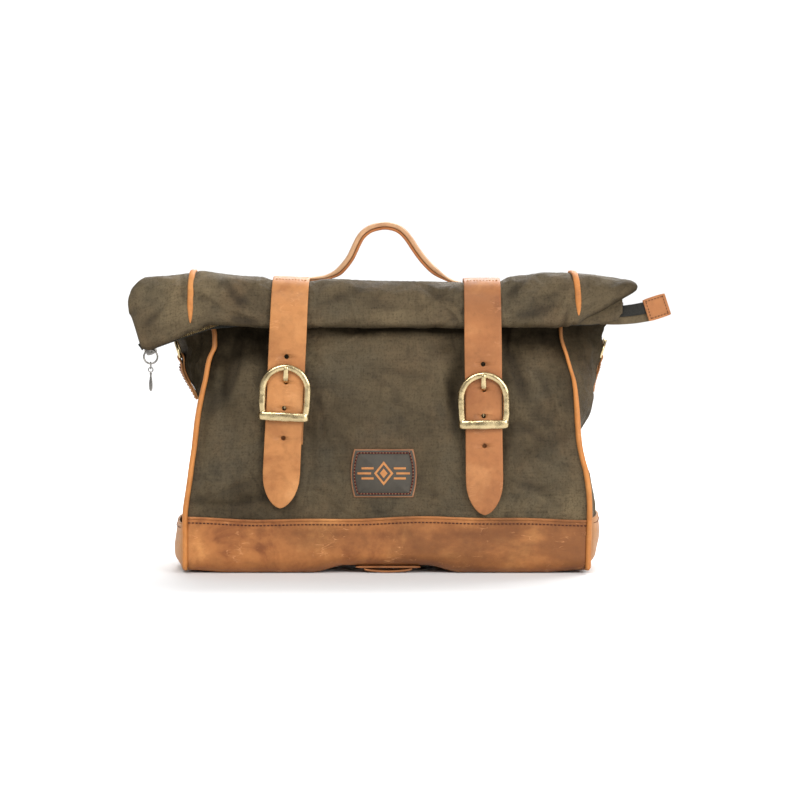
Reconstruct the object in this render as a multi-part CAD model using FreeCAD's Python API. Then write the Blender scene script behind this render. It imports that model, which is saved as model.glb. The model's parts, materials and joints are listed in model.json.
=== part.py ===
"""Fold-top motorcycle saddlebag in waxed canvas and leather.

Frame: millimetres, +X to the right as seen from the front, +Y to the back, which faces the motorcycle, +Z up.
The origin is under the middle of the base, on the ground.
The bag is a tub of sewn panels. Its mouth is flattened into a collar (the stem), and the collar is folded
over the front (the flap). The zip runs along the flap's free edge. Two straps pass over the fold and buckle
in front.
"""

import FreeCAD
import Part

import math
import os

V = FreeCAD.Vector

# ---------------------------------------------------------------- driving dimensions
# Outside of the canvas tub, from the base to the neck. Each station: height, half width at the front seam,
# at the middle of the gusset and at the back seam, then y of the front seam and of the back seam.
STATIONS = [
    (2.0, 191.0, 198.0, 191.0, -66.0, 66.0),
    (52.0, 191.0, 199.0, 191.0, -66.0, 66.0),
    (100.0, 188.0, 191.0, 189.0, -65.0, 66.0),
    (135.0, 184.0, 184.5, 186.0, -63.0, 66.0),
    (171.0, 179.0, 188.0, 183.0, -60.0, 66.0),
    (206.0, 172.0, 200.0, 178.0, -54.0, 66.0),
    (232.0, 167.0, 206.0, 172.0, -45.0, 42.0),
    (258.0, 172.0, 228.0, 174.0, -41.0, -6.0),
]
NECK_Z = STATIONS[-1][0]
CANVAS = 1.8
LEATHER = 2.2
GAP = 0.2

PIPING_R = 3.0
PIPING_OUT = 0.6  # the piping's centre stands this far outside the seam corner
PIPING_FOOT = 3.0
SEAM = 2.7  # panels stop this far short of the seam corner

BASE_H = 52.0  # height of the leather base
BASE_TUCK = 8.0  # the canvas reaches this far down inside the leather
BASE_CORNER_R = 12.0
BASE_ARCH = 7.0  # the underside rises this much in the middle
ARCH_FLAT = 38.0  # half length of the raised flat
ARCH_FOOT = 72.0  # half length at which the arch meets the ground
FOOT_END = 150.0
END_RISE = 2.5

LINING_IN = 4.8  # outside of the lining, in from the outside of the canvas
LINING_T = 1.0
LINING_TOP = 246.0
FLOOR_BOARD_T = 2.5
FLOOR_BOARD_HALF = (180.0, 56.0)
FLOOR_BOARD_R = 8.0
FLOOR_BOARD_GAP = 0.6
LINING_GAP = 0.5  # between the floor board and the lining
BACK_BOARD_T = 1.8
BACK_BOARD_H = 182.0
BACK_BOARD_HALF = 160.0
BACK_BOARD_GAP = 0.4
BACK_BOARD_LIFT = 4.0  # clear of the base's rounded corner
POCKET_HALF = 95.0
POCKET_Z = (60.0, 170.0)
POCKET_T = 1.0
POCKET_GAP = 0.3

# The folded collar. Each station: x, top, bottom, front y, back y
FLAP_TOP = 278.0  # height of the fold between and under the straps
FLAP = [
    (-247.0, 266.0, 246.0, -60.0, -30.0),
    (-237.0, 279.0, 222.0, -66.0, -21.0),
    (-196.0, 286.0, 229.0, -67.0, -18.0),
    (-184.0, 287.0, 233.0, -67.0, -18.0),
    (-140.0, 284.0, 234.0, -67.0, -18.0),
    (-116.0, FLAP_TOP, 234.0, -67.0, -18.0),
    (109.0, FLAP_TOP, 234.0, -67.0, -18.0),
    (130.0, 284.0, 234.0, -67.0, -18.0),
    (169.0, 286.5, 236.0, -67.0, -18.0),
    (181.0, 286.0, 240.0, -67.0, -18.0),
    (212.0, 282.0, 256.0, -64.0, -20.0),
    (234.0, 278.0, 270.0, -56.0, -34.0),
]
FLAP_SKIN = 3.0
FLAP_CORD_GAP = 0.5
FLAP_CORD_T = 2.4
FLAP_FRONT_DEPTH = 6.0
FLAP_CORD_X = {"left": -190.0, "right": 175.0}
FLAP_CORD_TAPER = 14.0
FLAP_CORD_TIP = 0.8
STEM_CLEAR = 1.2
STEM_FOOT_GAP = 0.5
STEM_BEVEL = (4.0, 3.0)
FLAP_BACK_Y = -54.4
STEM_Y = (-34.0, -17.0)
STEM_ENDS = (-234.0, 212.0)
CREST_Y = -16.0  # fold line about which the flap lifts
CREST_Z = 285.0

# Closing straps
STRAP_W = 35.5
STRAP_T = 3.0
STRAP_Y = -70.0  # back face of the strap's straight run
STRAPS = {  # x at the fold, tilt in degrees (tip swings to -X), z of the tip, drop of the buckle and holes
    "left": (-94.0, 2.8, 62.0, 0.0),
    "right": (87.5, -0.7, 56.0, 7.0),
}
STRAP_TOP_GAP = 1.5
STRAP_TOP = FLAP_TOP + STRAP_TOP_GAP
STRAP_FRONT_BEND = [(-19.5, 0.0), (-52.0, 0.0), (-62.0, -3.0), (-68.0, -9.5), (STRAP_Y, -18.0)]  # y, rise
STRAP_BACK_BEND = [(-14.6, 0.0), (-8.0, -3.0), (0.5, -16.5), (33.0, -36.0), (60.0, -53.5), (68.2, -70.5)]
TIP_LENGTH = 34.0
TIP_SIDE = (0.72, 12.0)  # the tip's side passes here: share of the half width, height above the tip
TIP_NOSE = (4.5, 1.2)  # the rounded nose starts here: half width, height above the tip
HOLE_PITCH = 25.6
HOLE_R = 2.7
FIRST_HOLE_Z = 207.1
HOLE_COUNT = 4
STRAP_BACK_END_Z = 165.0

# Buckle
BAR_Z = 150.0
BAR_Y = -66.2
BAR_R = 1.8
BUCKLE_OUT = 23.8
BUCKLE_IN = 18.6
BUCKLE_FRONT = -77.5
BUCKLE_BACK = -73.6
BUCKLE_BOTTOM = 146.5
ARCH_CENTRE_Z = 175.6
KEEPER_H = 8.2
KEEPER_Y = (-78.4, -75.6)
POST_STEP = 1.0  # the posts beside the strap stand this far inside the frame's outline
POST_REACH = 2.2
POST_TOP = 4.0
PRONG_W = 3.0
PRONG_T = 1.6
PRONG_EYE_T = 1.5
PIVOT_GAP = 0.08  # running clearance round a bar
NOTCH_DEPTH = 2.3
NOTCH_GAP = 0.5
NOTCH_Z = (-3.0, 3.4)
CHAPE_W = 34.0
CHAPE_EYE_R = 3.3
CHAPE_Y = (-68.6, -65.0)
CHAPE_FOOT_Z = 124.0
CHAPE_WINDOW = (-4.4, 6.0)  # opening for the prong, below and above the bar
SNAP_Z = 131.0
SNAP_R = 5.0
SNAP_BORE_R = 2.6
SOCKET_Y = (-66.8, -65.1)
STUD_R = 1.5
STUD_FACE_Y = -64.8
STUD_TIP_Y = -66.0

# Zip
ZIP_Y = -52.2
ZIP_PATH = [(-236.0, 210.5), (-172.0, 232.0), (-152.0, 242.0), (192.0, 243.0), (200.0, 245.5)]
TAPE_T = 1.0
TAPE_EDGES = (2.9, 9.0)  # distance of each tape's two edges from the middle of the zip
TOOTH_PITCH = 4.0
TOOTH_L = 2.6
TOOTH_T = 2.6
TOOTH_EDGES = (0.7, 2.7)
SLIDER_AT = 8.0  # distance of the slider from the zip's end
SLIDER_L = 10.0
SLIDER_H = 9.0
SLIDER_FRONT = (-3.2, -1.8)  # y of each plate from the middle of the zip
SLIDER_BACK = (1.8, 3.0)
SLIDER_POST = (3.0, 2.0, 0.4)  # the post is this much shorter, and this half deep and half high
LUG_R = 2.0
LUG_Y = -3.4
PULL_Y = -56.15
PULL_RING_R = 6.5
PULL_WIRE_R = 0.6
PULL_LINK_R = 3.2
PULL_EYE_R = 2.2
RING_TO_LINK = 1.45  # how far the link hangs inside the ring
LINK_TO_EYE = 1.35
PULL_STEM_R = 0.9
PULL_TIP_R = 1.5
PULL_TIP = (16.0, 21.0)
TAIL_START = (210.0, 248.6)
TAIL_END = (246.0, 253.5)
TAIL_W = 14.0
TAIL_T = 2.4
END_TAB = 22.0
END_TAB_T = 5.2
END_TAB_TILT = 18.0

# Handle
HANDLE_Y = -22.0
HANDLE_W = 17.0
HANDLE_T = 4.4
HANDLE_PIVOT_Z = 281.8
HANDLE_FOOT = 3.0  # half width where the handle is sewn down
HANDLE_PATH = [
    (-73, 284.0), (-60, 287.0), (-47, 298.0), (-37, 314.0), (-24, 328.5), (-5, 335.2),
    (13, 329.5), (26, 315.0), (39, 299.0), (53, 286.5), (66, 284.0),
]

# D-rings on the gussets
RING_WIRE_R = 1.5
RING_HALF = 13.0
RING_LEG = 6.0
RING_EYE_R = 3.2
TAB_OUT = 0.5
TAB_W = 20.0
TAB_T = 3.2
TAB_FOOT = (188.0, 171.0)
TAB_HEAD = (200.0, 206.0)

# Rear loops, bottom loop and label
LOOP_X = 105.0
LOOP_W = 45.0
LOOP_Z = (66.0, 156.0)
LOOP_PAD = 16.0
LOOP_OPENING = 6.0
LOOP_RAMP = 5.0
LOOP_GAP = 0.3
RIVET_R = 4.0
RIVET_EDGE = 10.0
RIVET_DOME = (1.3, 0.85)  # radius of the cap's sphere and its depth below the face, times the rivet's radius
PATCH_HALF = (31.0, 22.0)
PATCH_T = 2.2
PATCH_R = 3.0
BOTTOM_LOOP_OUTER = (26.0, 9.0)
BOTTOM_LOOP_INNER = (19.0, 8.0)
BOTTOM_LOOP_HALF_W = 10.0
LABEL_CENTRE = (-6.0, 96.0)
LABEL_W = 63.0
LABEL_H = 46.0
LABEL_T = 1.8
LABEL_BOW = 3.5
LABEL_FACE_Y = -68.0


# ---------------------------------------------------------------- helpers
def save(name, shape):
    """Write one node; a list becomes a group of separate solids."""
    if isinstance(shape, (list, tuple)):
        shape = Part.makeCompound(list(shape))
    shape.exportStep(f"parts/{name}.step")


def polygon(points):
    """A closed wire through 3-D points."""
    return Part.makePolygon([V(*p) for p in points] + [V(*points[0])])


def loft(sections):
    """A solid with straight sides between closed sections of equally many points."""
    return Part.makeLoft([polygon(s) for s in sections], True, True)


def offset_line(points, distance):
    """An open 2-D polyline moved sideways (to its left for a positive distance), with mitred corners."""
    normals = []
    for (x0, y0), (x1, y1) in zip(points, points[1:]):
        length = math.hypot(x1 - x0, y1 - y0)
        normals.append((-(y1 - y0) / length, (x1 - x0) / length))
    moved = []
    for i, (x, y) in enumerate(points):
        ax, ay = normals[max(i - 1, 0)]
        bx, by = normals[min(i, len(normals) - 1)]
        reach = distance / (1 + ax * bx + ay * by)
        moved.append((x + (ax + bx) * reach, y + (ay + by) * reach))
    return moved


def band(points, near, far):
    """The closed outline between two sideways offsets of an open polyline."""
    return offset_line(points, near) + list(reversed(offset_line(points, far)))


def prism_x(outline_yz, x0, x1):
    """A solid from an outline in the YZ plane."""
    face = Part.Face(polygon([(x0, y, z) for y, z in outline_yz]))
    return face.extrude(V(x1 - x0, 0, 0))


def prism_y(outline_xz, y0, y1):
    """A solid from an outline in the XZ plane."""
    face = Part.Face(polygon([(x, y0, z) for x, z in outline_xz]))
    return face.extrude(V(0, y1 - y0, 0))


def box(x0, x1, y0, y1, z0, z1):
    return Part.makeBox(x1 - x0, y1 - y0, z1 - z0, V(x0, y0, z0))


def rod(r, start, end):
    """A cylinder between two points."""
    a, b = V(*start), V(*end)
    return Part.makeCylinder(r, (b - a).Length, a, b - a)


def wire_ring(big_r, wire_r, centre, axis, turn=360):
    """A round ring, or part of one, of round wire."""
    return Part.makeTorus(big_r, wire_r, V(*centre), V(*axis), 0, 360, turn)


def upright_edges(shape):
    return [e for e in shape.Edges if abs(e.tangentAt(e.FirstParameter).z) > 0.9]


def mirrored(shape):
    return shape.mirror(V(0, 0, 0), V(1, 0, 0))


def station(z):
    """The tub's outside at height z, between the stations."""
    for low, high in zip(STATIONS, STATIONS[1:]):
        if z <= high[0]:
            t = (z - low[0]) / (high[0] - low[0])
            return tuple(a + t * (b - a) for a, b in zip(low, high))
    return STATIONS[-1]


def heights(z0, z1):
    return [z0] + [s[0] for s in STATIONS if z0 < s[0] < z1] + [z1]


# ---------------------------------------------------------------- tub
def flat_panel(side, z0, z1, out=0.0, thick=CANVAS):
    """A front (side -1) or back (side +1) sheet between its two seams."""
    sections = []
    for z in heights(z0, z1):
        _, x_front, _, x_back, y_front, y_back = station(z)
        x = (x_front if side < 0 else x_back) - SEAM
        y = (y_front if side < 0 else y_back) + side * out
        inner = y - side * thick
        sections.append([(-x, y, z), (x, y, z), (x, inner, z), (-x, inner, z)])
    return loft(sections)


def gusset(z0, z1, out=0.0, thick=CANVAS):
    """The right-hand side sheet, from the front seam out to its fold and back to the rear seam."""
    sections = []
    for z in heights(z0, z1):
        _, x_front, x_mid, x_back, y_front, y_back = station(z)
        y_mid = (y_front + y_back) / 2
        line = [(x_front, y_front + SEAM), (x_mid, y_mid), (x_back, y_back - SEAM)]
        sections.append([(x, y, z) for x, y in band(line, -out, thick - out)])
    return loft(sections)


def piping(side, z0, z1):
    """The right-hand round cord of leather along the front (side -1) or back (side +1) seam."""
    circles = []
    for z in heights(z0, z1):
        _, x_front, _, x_back, y_front, y_back = station(z)
        x = (x_front if side < 0 else x_back) + PIPING_OUT
        y = (y_front if side < 0 else y_back) + side * PIPING_OUT
        circle = Part.Circle(V(x, y, z), V(0, 0, 1), PIPING_R)
        circles.append(Part.Wire(circle.toShape()))
    return Part.makeLoft(circles, True, True)


def tub():
    canvas_foot = BASE_H - BASE_TUCK
    save("front_panel", flat_panel(-1, canvas_foot, NECK_Z))
    save("back_panel", flat_panel(1, canvas_foot, NECK_Z))
    right = gusset(canvas_foot, NECK_Z)
    save("right_gusset", right)
    save("left_gusset", mirrored(right))
    for name, side in (("front", -1), ("back", 1)):
        cord = piping(side, PIPING_FOOT, NECK_Z)
        save(f"{name}_piping_right", cord)
        save(f"{name}_piping_left", mirrored(cord))
    side_band = gusset(PIPING_FOOT, BASE_H, GAP + LEATHER, LEATHER)
    save("base_side_right", side_band)
    save("base_side_left", mirrored(side_band))


def base_underside(x):
    """Height of the underside at a distance x from the middle."""
    x = abs(x)
    if x <= ARCH_FLAT:
        return BASE_ARCH
    if x <= ARCH_FOOT:
        return BASE_ARCH * (ARCH_FOOT - x) / (ARCH_FOOT - ARCH_FLAT)
    if x <= FOOT_END:
        return 0.0
    return END_RISE * (x - FOOT_END) / (STATIONS[0][1] - FOOT_END)


def base_profile(x):
    """U-shaped section of the leather base: up the front, under and up the back."""
    low = base_underside(x)
    half = STATIONS[0][5] + GAP + LEATHER
    corner = []
    for k in range(5):
        a = math.radians(90 * k / 4)
        corner.append((half - BASE_CORNER_R * (1 - math.cos(a)), low + BASE_CORNER_R * (1 - math.sin(a))))
    right = [(half, BASE_H)] + corner
    line = right + [(-y, z) for y, z in reversed(right)]
    return [(x, y, z) for y, z in band(line, 0.0, -LEATHER)]


def base():
    end = STATIONS[0][1] - SEAM
    cuts = [-end, -FOOT_END, -ARCH_FOOT, -ARCH_FLAT, ARCH_FLAT, ARCH_FOOT, FOOT_END, end]
    save("base_wrap", loft([base_profile(x) for x in cuts]))
    board_z = BASE_ARCH + LEATHER + FLOOR_BOARD_GAP
    half_x, half_y = FLOOR_BOARD_HALF
    board = box(-half_x, half_x, -half_y, half_y, board_z, board_z + FLOOR_BOARD_T)
    save("base_board", board.makeFillet(FLOOR_BOARD_R, upright_edges(board)))
    lining_z = board_z + FLOOR_BOARD_T + LINING_GAP
    save("lining", lining(lining_z, LINING_TOP))

    back_y = STATIONS[0][5] - CANVAS - BACK_BOARD_GAP
    foot = lining_z + BACK_BOARD_LIFT
    x = BACK_BOARD_HALF
    save("back_board", box(-x, x, back_y - BACK_BOARD_T, back_y, foot, foot + BACK_BOARD_H))
    pocket_y = STATIONS[0][5] - LINING_IN - LINING_T - POCKET_GAP
    save("inner_pocket", box(-POCKET_HALF, POCKET_HALF, pocket_y - POCKET_T, pocket_y, *POCKET_Z))


def lining_section(z, inset):
    """Closed horizontal section of the tub, moved inward."""
    _, x_front, x_mid, x_back, y_front, y_back = station(z)
    y_mid = (y_front + y_back) / 2
    ring = [(-x_front, y_front), (x_front, y_front), (x_mid, y_mid)]
    ring += [(x_back, y_back), (-x_back, y_back), (-x_mid, y_mid)]
    looped = [ring[-1]] + ring + [ring[0]]
    inner = offset_line(looped, inset)[1:-1]
    return [(x, y, z) for x, y in inner]


def lining(z0, z1):
    outer = loft([lining_section(z, LINING_IN) for z in heights(z0, z1)])
    hollow_from = z0 + LINING_T
    hollow = loft([lining_section(z, LINING_IN + LINING_T) for z in heights(hollow_from, z1 + 1.0)])
    return outer.cut(hollow)


# ---------------------------------------------------------------- folded collar
def flap_section(x, top, bottom, front, back):
    """Hook-shaped section of the folded collar: down the front, over the top, open towards the stem."""
    h = top - bottom
    skin = min(FLAP_SKIN, 0.4 * h)
    inner_front = max(FLAP_BACK_Y, front + FLAP_FRONT_DEPTH)
    shoulder = (back - front) / 3
    outline = [
        (inner_front, bottom),
        (front + 3.0, bottom + 0.06 * h),
        (front, bottom + 0.25 * h),
        (front, top - 0.4 * h),
        (front + 5.0, top - 0.12 * h),
        (front + shoulder, top),
        (back, top),
        (back, top - skin),
        (front + shoulder + 8.0, top - skin),
        (inner_front, top - 0.5 * h),
    ]
    return [(x, y, z) for y, z in outline]


def collar():
    save("collar_flap", loft([flap_section(*s) for s in FLAP]))
    y0, y1 = STEM_Y
    cuts = [STEM_ENDS[0]] + [s[0] for s in FLAP if STEM_ENDS[0] < s[0] < STEM_ENDS[1]] + [STEM_ENDS[1]]
    bevel_y, bevel_z = STEM_BEVEL
    low = NECK_Z + STEM_FOOT_GAP
    sections = []
    for x in cuts:
        high = flap_station(x)[0] - FLAP_SKIN - STEM_CLEAR
        crown = [(y1, high - bevel_z), (y1 - bevel_y, high), (y0 + bevel_y, high), (y0, high - bevel_z)]
        sections.append([(x, y, z) for y, z in [(y0, low), (y1, low)] + crown])
    save("collar_stem", loft(sections))
    for name, x in FLAP_CORD_X.items():
        save(f"flap_piping_{name}", flap_piping(x))


def flap_station(x):
    """The folded collar's top, bottom, front and back at x, between the stations."""
    for low, high in zip(FLAP, FLAP[1:]):
        if x <= high[0]:
            t = (x - low[0]) / (high[0] - low[0])
            return tuple(a + t * (b - a) for a, b in zip(low[1:], high[1:]))
    return FLAP[-1][1:]


def flap_piping(x):
    """Cord strip over the fold and down the flap, narrowing to a point at its lower end."""
    outer = [(y, z) for _, y, z in flap_section(x, *flap_station(x))[2:7]]
    strip = prism_x(band(outer, FLAP_CORD_GAP, FLAP_CORD_GAP + FLAP_CORD_T), x - PIPING_R, x + PIPING_R)
    wide, tip = PIPING_R + GAP, FLAP_CORD_TIP
    high, neck, low = CREST_Z + PIPING_R + 10, outer[0][1] + FLAP_CORD_TAPER, outer[0][1]
    left = [(x - wide, high), (x - wide, neck), (x - tip, low)]
    taper = left + [(2 * x - a, z) for a, z in reversed(left)]
    return strip.common(prism_y(taper, -100, 0))


# ---------------------------------------------------------------- straps and buckles
def strap_front(tip_z, drop):
    """The strap's moving run, centred on x = 0: from the fold, over the flap and down to its tip."""
    line = [(y, STRAP_TOP + rise) for y, rise in STRAP_FRONT_BEND] + [(STRAP_Y, tip_z)]
    leather = prism_x(band(line, 0.0, -STRAP_T), -STRAP_W / 2, STRAP_W / 2)
    leather = leather.common(strap_outline(tip_z))
    for k in range(HOLE_COUNT):
        z = FIRST_HOLE_Z - drop - k * HOLE_PITCH
        leather = leather.cut(rod(HOLE_R, (0, STRAP_Y - 5, z), (0, STRAP_Y + 2, z)))
    return leather


def strap_outline(tip_z):
    """Everything inside the strap's front outline, with its bowed sides and rounded nose."""
    half = STRAP_W / 2
    share, side_z = TIP_SIDE
    nose_x, nose_z = TIP_NOSE
    y, shoulder, high = -100, tip_z + TIP_LENGTH, CREST_Z + STRAP_W

    def corner(x, z):
        return V(x, y, z)

    nose = [corner(s * nose_x, tip_z + nose_z) for s in (1, -1)]
    bow = [corner(s * share * half, tip_z + side_z) for s in (1, -1)]
    side = Part.Arc(corner(half, shoulder), bow[0], nose[0]).toShape()
    point = Part.Arc(nose[0], corner(0, tip_z), nose[1]).toShape()
    other = Part.Arc(nose[1], bow[1], corner(-half, shoulder)).toShape()
    above = [(-half, shoulder), (-half, high), (half, high), (half, shoulder)]
    rest = Part.makePolygon([corner(*p) for p in above])
    return Part.Face(Part.Wire([side, point, other] + rest.Edges)).extrude(V(0, -y, 0))


def strap_back():
    """The strap's sewn run, centred on x = 0: from the fold down the slope to the back panel."""
    line = [(y, STRAP_TOP + rise) for y, rise in STRAP_BACK_BEND]
    line.append((line[-1][0], STRAP_BACK_END_Z))
    return prism_x(band(line, STRAP_T, 0.0), -STRAP_W / 2, STRAP_W / 2)


def buckle_frame():
    """Arched frame, hidden bar and front keeper band in one casting, centred on x = 0."""
    frame = arch_plate(BUCKLE_OUT).cut(arch_plate(BUCKLE_IN))
    frame = frame.cut(box(-BUCKLE_IN, BUCKLE_IN, -90, -60, BUCKLE_BOTTOM - 1, ARCH_CENTRE_Z))
    frame = frame.fuse(box(-BUCKLE_OUT, BUCKLE_OUT, *KEEPER_Y, BUCKLE_BOTTOM, BUCKLE_BOTTOM + KEEPER_H))
    for side in (-1, 1):
        x0, x1 = sorted((side * BUCKLE_IN, side * (BUCKLE_OUT - POST_STEP)))
        y0, y1 = KEEPER_Y[0] + POST_STEP, BAR_Y + POST_REACH
        frame = frame.fuse(box(x0, x1, y0, y1, BUCKLE_BOTTOM, BAR_Z + POST_TOP))
    frame = frame.fuse(rod(BAR_R, (-BUCKLE_IN - 1, BAR_Y, BAR_Z), (BUCKLE_IN + 1, BAR_Y, BAR_Z)))
    x = PRONG_W / 2 + NOTCH_GAP
    low, high = (ARCH_CENTRE_Z + BUCKLE_IN + z for z in NOTCH_Z)
    frame = frame.cut(box(-x, x, -90, BUCKLE_FRONT + NOTCH_DEPTH, low, high))
    return frame.removeSplitter()


def arch_plate(half):
    """A plate as thick as the buckle's frame: a rectangle with a half-round top."""
    def corner(x, z):
        return V(x, BUCKLE_FRONT, z)

    ends = corner(half, ARCH_CENTRE_Z), corner(-half, ARCH_CENTRE_Z)
    arch = Part.Arc(ends[0], corner(0, ARCH_CENTRE_Z + half), ends[1]).toShape()
    sides = Part.makePolygon([ends[1], corner(-half, BUCKLE_BOTTOM), corner(half, BUCKLE_BOTTOM), ends[0]])
    return Part.Face(Part.Wire([arch] + sides.Edges)).extrude(V(0, BUCKLE_BACK - BUCKLE_FRONT, 0))


def prong():
    """Tongue that loops on the bar, passes through the second hole and rests in the frame's notch."""
    hole_z = FIRST_HOLE_Z - HOLE_PITCH
    top_z = ARCH_CENTRE_Z + BUCKLE_IN + 2.6
    line = [(BAR_Y, BAR_Z + 1.0), (-63.8, 160), (-63.6, hole_z - 0.6), (-75.0, hole_z + 1.6), (-77.1, top_z)]
    arm = prism_x(band(line, -PRONG_T / 2, PRONG_T / 2), -PRONG_W / 2, PRONG_W / 2)
    loop = rod(BAR_R + PRONG_EYE_T, (-PRONG_W / 2, BAR_Y, BAR_Z), (PRONG_W / 2, BAR_Y, BAR_Z))
    bore = rod(BAR_R + PIVOT_GAP, (-PRONG_W, BAR_Y, BAR_Z), (PRONG_W, BAR_Y, BAR_Z))
    return arm.fuse(loop).cut(bore).removeSplitter()


def chape():
    """Folded leather that holds the buckle's bar and carries the snap socket."""
    half = CHAPE_W / 2
    tail = box(-half, half, *CHAPE_Y, CHAPE_FOOT_Z, BAR_Z - 2)
    loop = rod(CHAPE_EYE_R, (-half, BAR_Y, BAR_Z), (half, BAR_Y, BAR_Z))
    neck = box(-half, half, BAR_Y - CHAPE_EYE_R + 0.6, BAR_Y + 2.4, BAR_Z - 5, BAR_Z)
    body = tail.fuse(loop).fuse(neck)
    body = body.cut(rod(BAR_R + PIVOT_GAP, (-half - 1, BAR_Y, BAR_Z), (half + 1, BAR_Y, BAR_Z)))
    x = PRONG_W / 2 + PIPING_OUT
    low, high = (BAR_Z + z for z in CHAPE_WINDOW)
    body = body.cut(box(-x, x, -71, -60, low, high))
    body = body.cut(rod(SNAP_R + 0.3, (0, -67.0, SNAP_Z), (0, -60, SNAP_Z)))
    return body.removeSplitter()


def snap_socket():
    back, front = SOCKET_Y
    ring = rod(SNAP_R, (0, back, SNAP_Z), (0, front, SNAP_Z))
    return ring.cut(rod(SNAP_BORE_R, (0, back - GAP, SNAP_Z), (0, front + GAP, SNAP_Z)))


def snap_stud(drop):
    """Press stud fixed to the front panel, behind the chape's socket."""
    wall = station(SNAP_Z - drop - SNAP_R)[4] - GAP
    disc = rod(SNAP_R, (0, STUD_FACE_Y, SNAP_Z), (0, wall, SNAP_Z))
    return disc.fuse(rod(STUD_R, (0, STUD_TIP_Y, SNAP_Z), (0, wall, SNAP_Z))).removeSplitter()


def straps():
    for name, (x, tilt, tip_z, drop) in STRAPS.items():
        pieces = {
            "buckle_frame": buckle_frame(),
            "buckle_prong": prong(),
            "chape": chape(),
            "snap_socket": snap_socket(),
            "snap_stud": snap_stud(drop),
        }
        for shape in pieces.values():
            shape.translate(V(0, 0, -drop))
        pieces["strap_front"] = strap_front(tip_z, drop)
        for node, shape in pieces.items():
            shape.rotate(V(0, 0, CREST_Z), V(0, 1, 0), tilt)
            shape.translate(V(x, 0, 0))
            save(f"{node}_{name}", shape)
        rear = strap_back()
        rear.translate(V(x, 0, 0))
        save(f"strap_back_{name}", rear)


# ---------------------------------------------------------------- zip
def along(s):
    """Point and direction at a distance s along the zip."""
    for (x0, z0), (x1, z1) in zip(ZIP_PATH, ZIP_PATH[1:]):
        length = math.hypot(x1 - x0, z1 - z0)
        if s <= length:
            ux, uz = (x1 - x0) / length, (z1 - z0) / length
            return x0 + ux * s, z0 + uz * s, ux, uz
        s -= length
    return None


def zip_teeth():
    """Two rows of teeth, one on each tape, apart by the thickness of the slider's post."""
    teeth = []
    s = 3.0
    while along(s + TOOTH_L):
        x, z, ux, uz = along(s)
        end = along(s + TOOTH_L)
        if (ux, uz) == end[2:]:
            for side in (-1, 1):
                near, far = (side * e for e in TOOTH_EDGES)
                corners = [(0, near), (TOOTH_L, near), (TOOTH_L, far), (0, far)]
                outline = [(x + a * ux - b * uz, z + a * uz + b * ux) for a, b in corners]
                teeth.append(prism_y(outline, ZIP_Y - TOOTH_T / 2, ZIP_Y + TOOTH_T / 2))
        s += TOOTH_PITCH
    return teeth


def zip_slider():
    """Front and back plates joined by a thin post. Built along X, then tilted."""
    half_l, half_h = SLIDER_L / 2, SLIDER_H / 2
    shorter, deep, high = SLIDER_POST
    body = box(-half_l, half_l - shorter, ZIP_Y - deep, ZIP_Y + deep, -high, high)
    for y0, y1 in (SLIDER_FRONT, SLIDER_BACK):
        body = body.fuse(box(-half_l, half_l, ZIP_Y + y0, ZIP_Y + y1, -half_h, half_h))
    return body


def zip_parts():
    near, far = TAPE_EDGES
    for name, side in (("upper", 1), ("lower", -1)):
        outline = band(ZIP_PATH, side * near, side * far)
        save(f"zip_tape_{name}", prism_y(outline, ZIP_Y - TAPE_T / 2, ZIP_Y + TAPE_T / 2))
    save("zip_teeth", zip_teeth())

    x, z, ux, uz = along(SLIDER_AT)
    slider = zip_slider()
    slider.rotate(V(0, 0, 0), V(0, 1, 0), -math.degrees(math.atan2(uz, ux)))
    slider.translate(V(x, 0, z))
    lug = wire_ring(LUG_R, PULL_WIRE_R, (x, ZIP_Y + LUG_Y, z), (1, 0, 0))
    lug = lug.common(box(x - 2, x + 2, -60, ZIP_Y - 3.0, z - 4, z + 4))
    save("zip_slider", slider.fuse(lug).removeSplitter())
    pull(x, z)


def pull(x, ring_top):
    """Ring, link and bar, each hung in the one above, straight down from the slider's lug."""
    ring_z = ring_top - PULL_RING_R
    save("pull_ring", wire_ring(PULL_RING_R, PULL_WIRE_R, (x, PULL_Y, ring_z), (0, 1, 0)))
    link_z = ring_z - PULL_RING_R + RING_TO_LINK - PULL_LINK_R
    save("pull_link", wire_ring(PULL_LINK_R, PULL_WIRE_R, (x, PULL_Y, link_z), (1, 0, 0)))
    eye_z = link_z - PULL_LINK_R + LINK_TO_EYE - PULL_EYE_R
    eye = wire_ring(PULL_EYE_R, PULL_WIRE_R, (x, PULL_Y, eye_z), (0, 1, 0))
    tip_high, tip_low = (eye_z - reach for reach in PULL_TIP)
    stem = rod(PULL_STEM_R, (x, PULL_Y, eye_z - PULL_EYE_R), (x, PULL_Y, tip_high - 1))
    tip = rod(PULL_TIP_R, (x, PULL_Y, tip_low), (x, PULL_Y, tip_high))
    save("pull_bar", eye.fuse(stem).fuse(tip).removeSplitter())


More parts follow.
